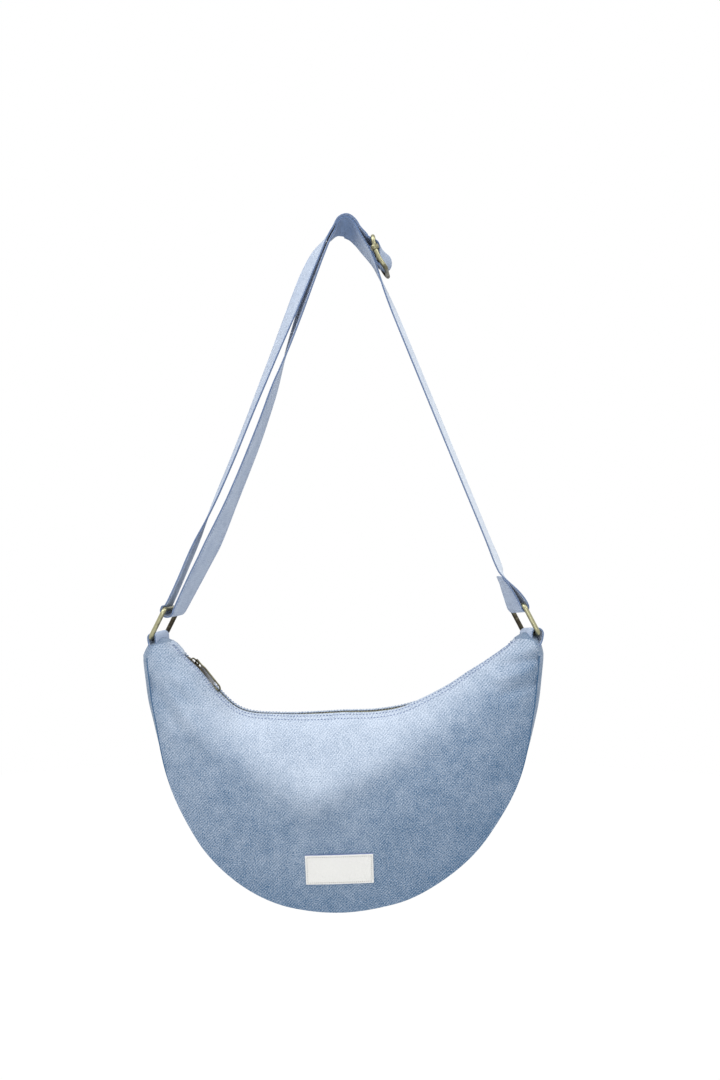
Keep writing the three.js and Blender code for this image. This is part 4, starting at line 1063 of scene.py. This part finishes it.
RIGHT_BAR, RIGHT_ACROSS = upper_bar(RIGHT)
LEFT_BAR, LEFT_ACROSS = upper_bar(LEFT)
ADJUSTER_NEAR, ARCH_LEFT = vec(27.3, 0, -31), vec(-20, 0, -20)
FLAP_GAP, TURN_RISE, BELOW_ADJUSTER = 0.3, 1, 14
RUN_UP = unit(ADJUSTER_NEAR - RIGHT_BAR)
RUN_OUT = unit(np.cross(RIGHT_ACROSS, RUN_UP))
LEFT_UP = unit(ARCH_LEFT - LEFT_BAR)
LEFT_OUT = unit(np.cross(LEFT_UP, LEFT_ACROSS))
RUN_START = RIGHT_BAR + RUN_UP * (FLAP + FLAP_GAP) + RUN_OUT * LAYER_STEP / 2
TURN_TOP = LEFT_BAR + LEFT_UP * TURN_RISE - LEFT_OUT * LOOP_INNER
ADJUSTER_AT = RUN_START + RUN_UP * np.dot(ADJUSTER_NEAR - RUN_START, RUN_UP)
# The arch's middle line as (x, z), and the bow of the left run by its share of the way down
ARCH = [(28.3, -31.2), (23.4, -23.2), (18.1, -15.9), (12.5, -8), (7.2, -1.4), (1.2, STRAP_THICK / 2 + 1),
        (-4.6, 0.1), (-10.2, -6.2)]
BOW = [(0.2, 2.7), (0.35, 5.9), (0.5, 8.5), (0.65, 8.5), (0.8, 6.6), (0.9, 3.2), (0.96, 1.2)]


def strap_route():
    """The long run's middle line: up from the right ring, over the narrow arch and down in a slight bow."""
    below = ADJUSTER_AT - RUN_UP * BELOW_ADJUSTER
    up_run = lerp(RUN_START, below, vec(0, 0.25, 0.5, 0.75, 0.9, 1)[:, None])
    arch = np.array([(x, 0, z) for x, z in ARCH])
    share, bow = np.array(BOW).T[..., None]
    down_run = lerp(ARCH_LEFT, TURN_TOP, share) - LEFT_OUT * bow
    return through(np.concatenate([up_run, arch, [ARCH_LEFT], down_run, [TURN_TOP]]), 20)


ROUTE = strap_route()
TRAVELLED = arc_length(ROUTE)
ROUTE_LENGTH = TRAVELLED[-1]
TO_ADJUSTER = np.linalg.norm(RUN_START - ADJUSTER_AT)
TO_TOP = TRAVELLED[np.argmax(ROUTE[:, 2])]
ARCH_SPAN = TO_TOP + 19
SEWN_AT = TO_ADJUSTER + SEWN_LEG + 1.2
PAY_OUT = ARCH_SPAN - 8
LEFT_LEG, RIGHT_LEG = 92, 70
# Where the route is cut: past the right ring's loop, at the sewn end, past the arch and above the left turn
LOOP_CUT, SEWN_CUT, PAY_CUT, TURN_CUT = (
    np.argmax(TRAVELLED > far) for far in (RIGHT_LEG, SEWN_AT, PAY_OUT, ROUTE_LENGTH - LEFT_LEG))


def twists(start, knots):
    """Knots of a twist, their places counted from start."""
    return [(start + far, angle) for far, angle in knots]


# Twist of the webbing in degrees, by distance from the route's start, the adjuster and the arch's top
RUN_TWIST = [(0, 14), (6, 15), (25, 13.6), (90, 13.4)] + twists(TO_ADJUSTER, [
    (-90, 13), (-50, 12), (-30, 9), (-14, 4.5), (0, 0.5), (8, -3), (16, -4.5), (24, -4)])
ARCH_TWIST = RUN_TWIST + twists(TO_TOP, [(-8, -7), (5, -12), (20, -17)])
LONG_TWIST = ARCH_TWIST + twists(TO_TOP, [
    (45, -18.5), (90, -15), (114, -12), (129, -9.5), (148, -4.2), (171, 2.6), (200, 5.1), (229, 7.4),
    (258, 8.5), (287, 10.5), (316, 15.5), (330, 17.5), (344, 16.5), (366, 15), (392, 12), (410, 9)])
RETURN_TWIST = ARCH_TWIST + twists(TO_TOP, [
    (45, -23), (90, -22.5), (114, -20.5), (143, -17.5), (171, -16), (200, -14), (229, -13.4), (258, -12.7),
    (287, -11.5), (312, -7.5), (330, -2.5), (344, -0.6), (367, -0.4), (392, 0.5), (410, 2)])
# Twist and spread of the two layers at the right ring, by height above its upper bar
OUTER_TWIST = [(0, -11), (12, -7), (22, -1), (33, 7), (FLAP, 14)]
FLAP_TWIST = [(0, -12), (10, -10), (22, -6), (CUT_END, -1)]
OUTER_SPREAD = [(0, TURN_LAYER), (16, 0.85 * TURN_LAYER), (32, 0.6 * LAYER_STEP), (FLAP, 0.5 * LAYER_STEP)]
FLAP_SPREAD = [(0, TURN_LAYER), (16, 2.6), (26, 1.8), (CUT_END, 2.2)]


def strap_across(twist):
    """Direction across the webbing on the route: turned by its twist, and dipped back over the arch."""
    turn = np.radians(soft_curve(TRAVELLED, twist))
    dip = np.radians(ARCH_TILT) * np.exp(-((TRAVELLED - TO_TOP) / 20) ** 2)
    return np.stack([np.sin(turn) * np.cos(dip), np.cos(turn) * np.cos(dip), -np.sin(dip)], -1)


ACROSS = strap_across(LONG_TWIST)
RETURN_ACROSS = strap_across(RETURN_TWIST)
OUTWARD = unit(np.cross(ACROSS, unit(np.gradient(ROUTE, axis=0))))
SEWN_LIFT, PART_DIP, PART_SWELL, LEG_STEPS, SHIFT_HEIGHT = 2.6, 1.7, 1.2, 29, 40


def return_route():
    """The return run's middle line: on the long run over the arch, parted from it down the left side."""
    down = (TRAVELLED - ARCH_SPAN) / (ROUTE_LENGTH - ARCH_SPAN)
    sewn = SEWN_LIFT * (1 - ease(TRAVELLED, SEWN_AT, SEWN_AT + 12))
    dip = PART_DIP * np.sin(np.pi * np.clip((down - 0.1) / 0.72, 0, 1))
    parted = PARTING * ease(down, -0.05, 0.56) - dip
    parted = parted + PART_SWELL * np.exp(-((down - 0.14) / 0.14) ** 2)
    closed = (PARTING + LAYER_STEP - LOOP_INNER - LOOP_OUTER) * ease(down, 0.78, 1)
    return ROUTE + OUTWARD * (LAYER_STEP + sewn + parted - closed)[:, None]


RETURN = return_route()
# Tone of the webbing: painted light up the right run and more so low down, painted shade under the arch, and
# tone on the doubled stretches, where the return run has painted shade
RUN_LIGHT, LOW_LIGHT, ARCH_SHADE, RETURN_TONE, TURN_TONE, SEWN_TONE = 0.24, 0.2, -0.7, -0.12, 0.28, -0.3


def turn_points(bar, up, out, near, far, drop):
    """The half turn of webbing below a ring's upper bar: half an ellipse, near and far from the bar on its
    two sides and drop below it."""
    angle = np.pi * np.linspace(0, 1, 17)[:, None]
    return bar - up * drop * np.sin(angle) + out * ((near - far) / 2 + (near + far) / 2 * np.cos(angle))


def long_run():
    """From the right loop over the arch to the left turn: painted light up the right side, painted shade
    under the arch.
    """
    part = slice(LOOP_CUT, TURN_CUT + 1)
    far = TRAVELLED[part]
    upper = RUN_LIGHT * (1 - ease(far, TO_ADJUSTER - 60, TO_ADJUSTER - 20))
    tone = upper + LOW_LIGHT * (1 - ease(far, 90, 220))
    tone = tone + ARCH_SHADE * np.exp(-((far - TO_TOP + 2) / 16) ** 2)
    return ROUTE[part], ACROSS[part], far[0], tone


def return_part(first, last, tone):
    """The return run between two of its cuts."""
    part = slice(first, last + 1)
    return RETURN[part], RETURN_ACROSS[part], TRAVELLED[first], tone


def left_turn():
    """Down the long run's end, round the left ring's upper bar and up the start of the return run."""
    turn = turn_points(LEFT_BAR, LEFT_UP, -LEFT_OUT, LOOP_INNER, LOOP_OUTER, LOOP_DROP)
    path = np.concatenate([ROUTE[TURN_CUT:], turn, RETURN[TURN_CUT:][::-1]])
    across = np.concatenate([ACROSS[TURN_CUT:], np.tile(LEFT_ACROSS, (len(turn), 1)),
                             RETURN_ACROSS[TURN_CUT:][::-1]])
    count = len(ROUTE) - TURN_CUT
    face_light = FACE_LIGHT * np.concatenate([np.ones(count), np.linspace(1, -1, len(turn)), -np.ones(count)])
    rising = lerp(RETURN_TONE, TURN_TONE, ease(np.arange(count)[::-1], 0, count / 3))
    tone = np.concatenate([np.zeros(count + len(turn)), rising])
    return path, across, TRAVELLED[TURN_CUT], tone, face_light


def right_loop():
    """Down the run's start, round the right ring's upper bar and up again to the cut end. Each leg is
    twisted and spread by its height, and moved with the ring near to it."""
    legs, leans = [], []
    for way, rises, spread, twist in ((1, np.linspace(FLAP, 0, LEG_STEPS), OUTER_SPREAD, OUTER_TWIST),
                                      (-1, np.linspace(0, CUT_END, LEG_STEPS), FLAP_SPREAD, FLAP_TWIST)):
        lean = np.radians(soft_curve(rises, twist))
        near = 1 - ease(rises, 0, SHIFT_HEIGHT)
        leg = RIGHT_BAR + rises[:, None] * RUN_UP + way * soft_curve(rises, spread)[:, None] * RUN_OUT
        legs.append(leg + near[:, None] * RIGHT_SHIFT)
        leans.append(np.stack([np.sin(lean), np.cos(lean), -near * RIGHT_DIP], -1))
    turn = turn_points(RIGHT_BAR + RIGHT_SHIFT, RUN_UP, RUN_OUT, TURN_LAYER, TURN_LAYER,
                       TURN_LAYER + 1)[1:-1]
    path = np.concatenate([ROUTE[1:LOOP_CUT + 1][::-1], legs[0], turn, legs[1]])
    across = np.concatenate([ACROSS[1:LOOP_CUT + 1][::-1], leans[0], np.tile(leans[0][-1], (len(turn), 1)),
                             leans[1]])
    inner = len(legs[1])
    outer = len(path) - len(turn) - inner
    face_light = -FACE_LIGHT * np.concatenate([np.ones(outer), np.linspace(1, -1, len(turn)), -np.ones(inner)])
    # Painted light up the right run, tapering off down the outer leg
    taper = np.concatenate([np.ones(LOOP_CUT), np.linspace(1, 0, len(legs[0])), np.zeros(len(turn) + inner)])
    return path, across, 0.0, (RUN_LIGHT + LOW_LIGHT) * taper, face_light


# One webbing cut into parts: the runs stay with the bag; the turns and the paid-out stretch are attached to
# nothing
strap = {name: make_piece("webbing_" + name, [webbing(*run)], STRAP_DENIM) for name, run in {
    "long_run": long_run(),
    "return_run": return_part(PAY_CUT, TURN_CUT, RETURN_TONE),
    "pay_out": return_part(SEWN_CUT, PAY_CUT, 0.0),
    "left_turn": left_turn(),
    "right_loop": right_loop(),
}.items()}

# The adjuster's own axes: out from the run, across it and up it
FRAME_ACROSS = vec(math.sin(math.radians(FRAME_TWIST)), math.cos(math.radians(FRAME_TWIST)), 0)
ADJUSTER_OUT = unit(np.cross(FRAME_ACROSS, RUN_UP))
ADJUSTER_SIDE = unit(np.cross(RUN_UP, ADJUSTER_OUT))
ADJUSTER_AXES = np.array([ADJUSTER_OUT, ADJUSTER_SIDE, RUN_UP])
FRAME_EASE, FRAME_CORNER, FRAME_BOW, FRAME_UP = 4.5, 5, 2.5, 1
FRAME_WIDE = STRAP_WIDTH + FRAME_EASE + ADJUSTER_WIRE
COLLAR_RADIUS, COLLAR_WIRE, COLLAR_SHIFT, COLLAR_FLAT, ROD_SHORT, BAR_DARK = 3.1, 0.95, 0.3, 2.4, 2.5, 0.3
# The sewn end: lift off the run, height along it and twist in degrees, which the curve takes at a twentieth
SEWN_LOOP = [(INNER_LEG, 10, 5), (INNER_LEG, 4, 5), (INNER_LEG, -2, 6), (3.4, -6.6, 9), (6, -9.2, 12),
             (9.2, -7.4, 17), (11.3, -2.5, 20), (11.9, 2.5, 17), (11.2, 7, 9), (9, 11.2, 2)]
TWIST_SCALE = 0.05


def on_adjuster(points):
    """Turns places in the adjuster's own axes to the bag's."""
    return ADJUSTER_AT + points @ ADJUSTER_AXES


def adjuster_frame_piece():
    """A wire frame that lies outside the strap, its two end bars curved a little further out."""
    loop = rounded_loop(FRAME_WIDE, ADJUSTER_LENGTH, FRAME_CORNER, rail=20)
    lift = BAR_LIFT + FRAME_BOW * (2 * loop[:, 1] / ADJUSTER_LENGTH) ** 2
    path = np.stack([lift, loop[:, 0], loop[:, 1] + FRAME_UP], -1)
    flat = wire_shell(path, vec(1, 0, 0), ADJUSTER_WIRE / 2, 20)
    shell = moved(flat, on_adjuster)
    # Painted shade towards the back and on the sides turned away from the light, over an even darker tone
    back = BACK_SHADE * ease(flat[0][:, 1], *FRAME_BACK)
    tone = FRAME_DARK + lit_side_tone(shell[0], len(path), FRAME_SHADE) + back
    return make_piece("adjuster_wire", [toned(shell, tone)], BRASS)


def adjuster_bar_piece():
    """The middle bar, with a collar at each end that wraps the frame."""
    reach = FRAME_WIDE / 2
    along = np.linspace(-reach + ROD_SHORT, reach - ROD_SHORT, 9)
    rod = np.stack(np.broadcast_arrays(BAR_LIFT, along, BAR_UP), -1)
    shells = [wire_shell(rod, vec(1, 0, 0), ADJUSTER_WIRE / 2, 16, ring=False, tone=BAR_DARK)]
    spot = np.linspace(0, 2 * np.pi, 33)[:-1]
    for end in (-reach, reach):
        hoop = np.stack(np.broadcast_arrays(BAR_LIFT + COLLAR_SHIFT + COLLAR_RADIUS * np.cos(spot),
                                            end + COLLAR_RADIUS * np.sin(spot), BAR_UP), -1)
        shells.append(wire_shell(hoop, UP, COLLAR_WIRE, 12, squeeze=COLLAR_FLAT, tone=BAR_DARK))
    return make_piece("adjuster_middle_bar", [moved(shell, on_adjuster) for shell in shells], BRASS)


def sewn_end_piece():
    """The strap's sewn end: in along the run, loosely round the middle bar and back outside it as a dome."""
    lift, _, along = (RETURN[SEWN_CUT] - ADJUSTER_AT) @ ADJUSTER_AXES.T
    places = np.array(SEWN_LOOP + [(lift + 3, along - 3.4, -2), (lift, along, -4)])
    curve = through(places * vec(1, 1, TWIST_SCALE), 6)
    lean = np.radians(curve[:, 2] / TWIST_SCALE - FRAME_TWIST)
    path = on_adjuster(np.stack([curve[:, 0], 0 * lean, curve[:, 1]], -1))
    across = np.sin(lean)[:, None] * ADJUSTER_OUT + np.cos(lean)[:, None] * ADJUSTER_SIDE
    return make_piece("webbing_sewn_end", [webbing(path, across, tone=SEWN_TONE)], STRAP_DENIM)


adjuster_wire = adjuster_frame_piece()
adjuster_middle_bar = adjuster_bar_piece()
sewn_end = sewn_end_piece()

# Label and threads. A thread has its pitch, its stitches' length and its radius
LABEL_AT, LABEL_SIZE, LABEL_TURN = (-2.9, -594), (61.5, 27.6), math.radians(1.8)
LABEL_LIFT, LABEL_THICK, LABEL_INSET, THREAD_LIFT = 1.1, 0.8, 1.6, 1.15
# The label's painted shadow: how far out past its top, how far off the cloth and how thick
SHADOW_OUT, SHADOW_LIFT, SHADOW_RADIUS = 0.25, 0.5, 0.45
PANEL_THREAD, LABEL_THREAD = (STITCH_PITCH, 2.0, 0.33), (1.9, 1.3, 0.22)
STITCH_ROWS, STITCH_ENDS, NORMAL_STEP = (0.085, 0.15), (0.012, 0.988, 600), 0.003
THREAD_RISE, THREAD_DIP, THREAD_FULL = 0.9, 1.6, 1.08
SEAM_SHARE, SEAM_THIN, SEAM_FULL, SEAM_SHADE = 0.17, 0.12, 0.5, -0.4


def on_front(x, z, lift, step=0.002):
    """Places on the front cloth, lifted off it along its normal."""
    u, v = find_on_front(x, z)
    along = panel_face(u + step, v, FRONT) - panel_face(u - step, v, FRONT)
    down = panel_face(u, v + step, FRONT) - panel_face(u, v - step, FRONT)
    normal = unit(np.cross(along, down))
    normal = normal * np.sign(-normal[..., 1:2])
    return panel_face(u, v, FRONT) + normal * lift, normal


def on_label(x, z):
    """Turns the label's own places to the bag's."""
    c, s = math.cos(LABEL_TURN), math.sin(LABEL_TURN)
    return LABEL_AT[0] + x * c - z * s, LABEL_AT[1] + x * s + z * c


def label_piece():
    """The sewn label: a flat sheet laid on the front cloth."""
    x, z = shares((-LABEL_SIZE[0] / 2, LABEL_SIZE[0] / 2, 49), (LABEL_SIZE[1] / 2, -LABEL_SIZE[1] / 2, 25))
    top, normal = on_front(*on_label(x, z), LABEL_LIFT)
    return make_piece("sewn_label", [cloth_shell(top, LABEL_THICK, np.stack([x, z], -1), -normal)], LABEL)


def stitches(path, normal, pitch, length, radius):
    """Thread dashes along a path: each is a short bent capsule that dips into the cloth at both ends."""
    far = arc_length(path)
    middle = np.arange(pitch / 2, far[-1], pitch)
    share = np.linspace(-1, 1, 6)
    spots = middle[:, None] + share * length / 2
    line, up = (np.stack([np.interp(spots, far, values[:, k]) for k in range(3)], -1)
                for values in (path, normal))
    up = unit(up)
    line = line + up * (radius * (THREAD_RISE - THREAD_DIP * share ** 4))[None, :, None]
    along = unit(np.gradient(line, axis=1))
    across = unit(np.cross(along, up))
    turn = corners(6)
    circle = np.cos(turn)[:, None] * across[:, :, None] + np.sin(turn)[:, None] * up[:, :, None]
    size = radius * np.sqrt(np.clip(THREAD_FULL - share ** 6, 0, 1))
    points = line[:, :, None] + size[None, :, None, None] * circle
    weave = np.stack(np.broadcast_arrays(spots[..., None], radius * turn), -1)
    return tubes(points, weave=weave)


def panel_stitches(name, side):
    """Two rows of topstitching along the panel's mouth."""
    shells = []
    u = np.linspace(*STITCH_ENDS)
    for v in STITCH_ROWS:
        rows = [panel_face(u, np.full_like(u, v + step), side) for step in (-NORMAL_STEP, 0, NORMAL_STEP)]
        normal = outward(np.stack(rows, 1), side)[:, 1]
        shells.append(stitches(rows[1], normal, *PANEL_THREAD))
    return make_piece(name, shells, BLUE_THREAD)


def label_stitches():
    """A row of fine thread just inside the label's border."""
    x, z = LABEL_SIZE[0] / 2 - LABEL_INSET, LABEL_SIZE[1] / 2 - LABEL_INSET
    corner = np.array([[-x, z], [x, z], [x, -z], [-x, -z], [-x, z]])
    shells = []
    for a, b in zip(corner[:-1], corner[1:]):
        flat = lerp(a, b, np.linspace(0, 1, 60)[:, None])
        path, normal = on_front(*on_label(flat[:, 0], flat[:, 1]), THREAD_LIFT)
        shells.append(stitches(path, normal, *LABEL_THREAD))
    return make_piece("label_stitches", shells, GREY_THREAD)


def label_shadow_cord():
    """A dark cord along the top of the label: painted shadow under its upper edge."""
    x = np.linspace(-0.5, 0.5, 49) * LABEL_SIZE[0]
    path, normal = on_front(*on_label(x, np.full_like(x, LABEL_SIZE[1] / 2 + SHADOW_OUT)), SHADOW_LIFT)
    return make_piece("label_shadow_cord", [wire_shell(path, normal, SHADOW_RADIUS, 8, ring=False)], BLUE_THREAD)


def seam_cords(name, side):
    """The sunken seam between a panel and the gusset, where it shows below each horn: a cord darkened as
    painted shade in the seam.
    """
    shells = []
    for u in (np.linspace(0.0, SEAM_SHARE, 40), np.linspace(1 - SEAM_SHARE, 1.0, 40)):
        path = panel_face(u, np.ones_like(u), side)
        radius = lerp(SEAM_THIN, SEAM_FULL, ease(np.minimum(u, 1 - u), SEAM_SHARE, 0.13))
        shells.append(wire_shell(path, ACROSS_BAG, radius, 8, ring=False, tone=SEAM_SHADE))
    return make_piece(name, shells, DENIM)


front_seam, back_seam = both_sides(seam_cords, "seam")
sewn_label = label_piece()
label_top_shadow = label_shadow_cord()
front_stitches, back_stitches = both_sides(panel_stitches, "stitches")
label_threads = label_stitches()

# What each piece moves with and takes its finish from, and the node that it stands for
DRESSING = {
    ("bag", "denim"): [
        (front_cloth, "front_panel"), (back_cloth, "back_panel"), (gusset, "base_band"), (front_seam, None),
        (back_seam, None), (front_stitches, None), (back_stitches, None), (left_zip_end, "zip_end_left"),
        (right_zip_end, "zip_end_right"), (left_cloth_tab, "left_tab"), (right_cloth_tab, "right_tab")],
    ("bag", "lining_cotton"): [
        (front_lining, "lining_front"), (back_lining, "lining_back"), (base_lining, "lining_base")],
    ("bag", "woven_label"): [(sewn_label, "label_patch"), (label_threads, None), (label_top_shadow, None)],
    ("bag", "antique_brass"): [
        (front_teeth, "zip_teeth_front"), (back_teeth, "zip_teeth_back"), (left_stop, "zip_stop_left"),
        (right_stop, "zip_stop_right")],
    ("bag", "zip_tape"): [(front_tape, "zip_tape_front"), (back_tape, "zip_tape_back")],
    ("bag", "strap_denim"): [
        (strap["long_run"], "strap_long_run"), (strap["return_run"], "strap_return_run")],
    (None, "strap_denim"): [
        (strap["left_turn"], "strap_left_turn"), (strap["right_loop"], "strap_right_loop"),
        (strap["pay_out"], None)],
    ("strap_adjuster", "strap_denim"): [(sewn_end, "strap_end_loop")],
    ("strap_adjuster", "antique_brass"): [
        (adjuster_wire, "adjuster_frame"), (adjuster_middle_bar, "adjuster_bar")],
    ("zip_slider", "antique_brass"): [(slider_body, "zip_slider"), (slider_bridge, "slider_crown")],
    ("zip_puller", "antique_brass"): [(puller_rim, "zip_puller"), (puller_plate, None)],
    ("left_ring", "antique_brass"): [(left_wire_ring, "left_ring")],
    ("right_ring", "antique_brass"): [(right_wire_ring, "right_ring")],
}
for (body, slot), pieces in DRESSING.items():
    for piece, node in pieces:
        if body:
            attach(piece, body)
        if node:
            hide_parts(node)


def bend_between(piece):
    """Bakes a piece's placing into its mesh."""
    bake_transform(piece)


bend_between(strap["left_turn"])
bend_between(strap["right_loop"])
bend_between(strap["pay_out"])


# Stage, light and camera
FLOOR_Z, FLOOR_THICK, FLOOR_GLOW, FLOOR_SHARE, WORLD_LIGHT = -1000.0, 5, 1.03, 0.95, 0.52
FLOOR_RINGS, FLOOR_STEPS, FLOOR_COLOUR = vec(10, 600, 1200, 1800, 2500), 97, (0.92, 0.92, 0.92, 1)
LENS, SEEN_HEIGHT, SEEN_FROM = 50, 1.026, 1.05
# Lamps in metres: place, aim, width and power
LAMPS = {
    "top": ((-0.3, -0.75, 0.8), (0, 0, -0.5), 1.2, 7),
    "left_high": ((-1.0, -0.45, 0.75), (0, 0, -0.3), 0.9, 6.5),
    "right_high": ((1.0, -0.45, 0.75), (0, 0, -0.3), 0.9, 6.5),
    "front_fill": ((0.0, -1.7, -0.35), (0, 0, -0.45), 1.0, 5),
}


def seen_plainly(tree):
    """1 for rays from the camera, in reflections and through glass, 0 for light."""
    rays = add_node(tree, "LightPath").outputs
    passing = calc(tree, "MAXIMUM", rays["Is Glossy Ray"], rays["Is Transmission Ray"])
    return calc(tree, "MAXIMUM", rays["Is Camera Ray"], passing)


def floor_piece():
    """A wide flat disc well below the bag, which looks nearly white but keeps the bag's shadow."""
    turn = np.linspace(0, 2 * np.pi, FLOOR_STEPS)[:-1]
    radius = FLOOR_RINGS[:, None]
    points = np.stack(np.broadcast_arrays(radius * np.cos(turn), radius * np.sin(turn), FLOOR_Z), -1)
    rows = np.concatenate([points, points[::-1] - UP * FLOOR_THICK])
    constants = {"Roughness": 0.9, "Base Color": FLOOR_COLOUR}
    material, tree, shader = new_material("pale_floor", constants)
    glow = add_node(tree, "Emission", {"Color": (1, 1, 1, 1), "Strength": FLOOR_GLOW}).outputs[0]
    share = calc(tree, "MULTIPLY", seen_plainly(tree), FLOOR_SHARE)
    mixed = add_node(tree, "MixShader", {0: share, 1: shader.outputs[0], 2: glow})
    tree.links.new(mixed.outputs[0], tree.nodes["Material Output"].inputs["Surface"])
    return make_piece("floor", [tubes(rows.transpose(1, 0, 2)[None], ring=True)], material)


def light_world(strength):
    """White to the camera and in reflections, and a plain soft light otherwise."""
    world = bpy.data.worlds.new("studio")
    bpy.context.scene.world = world
    world.use_nodes = True
    tree = world.node_tree
    background = tree.nodes["Background"].inputs
    inputs = {"Value": seen_plainly(tree), "To Min": strength, "To Max": 1.0}
    tree.links.new(add_node(tree, "MapRange", inputs).outputs[0], background["Strength"])
    background["Color"].default_value = (1, 1, 1, 1)


def area_light(name, place, aim, size, power):
    """A round soft lamp at a place, turned to its aim."""
    lamp = bpy.data.lights.new(name, "AREA")
    lamp.shape, lamp.size, lamp.energy = "DISK", size, power
    made = bpy.data.objects.new(name, lamp)
    bpy.context.collection.objects.link(made)
    made.location = place
    toward = vec(*aim) - vec(*place)
    flat = math.hypot(toward[0], toward[1])
    made.rotation_euler = (math.atan2(flat, -toward[2]), 0, math.atan2(-toward[0], toward[1]))


floor_piece()
light_world(WORLD_LIGHT)
for name, lamp in LAMPS.items():
    area_light(name, *lamp)

lens = bpy.data.cameras.new("photo_view")
lens.lens, lens.sensor_fit, lens.sensor_height = LENS, "VERTICAL", LENS * SEEN_HEIGHT / SEEN_FROM
lens.clip_start, lens.clip_end = 0.05, 20
camera = bpy.data.objects.new("photo_view", lens)
camera.location = (0.0157, -SEEN_FROM, -0.2955)
camera.rotation_euler = (math.pi / 2, 0, 0)
bpy.context.collection.objects.link(camera)
bpy.context.scene.camera = camera
bpy.context.scene.view_settings.view_transform = "Standard"
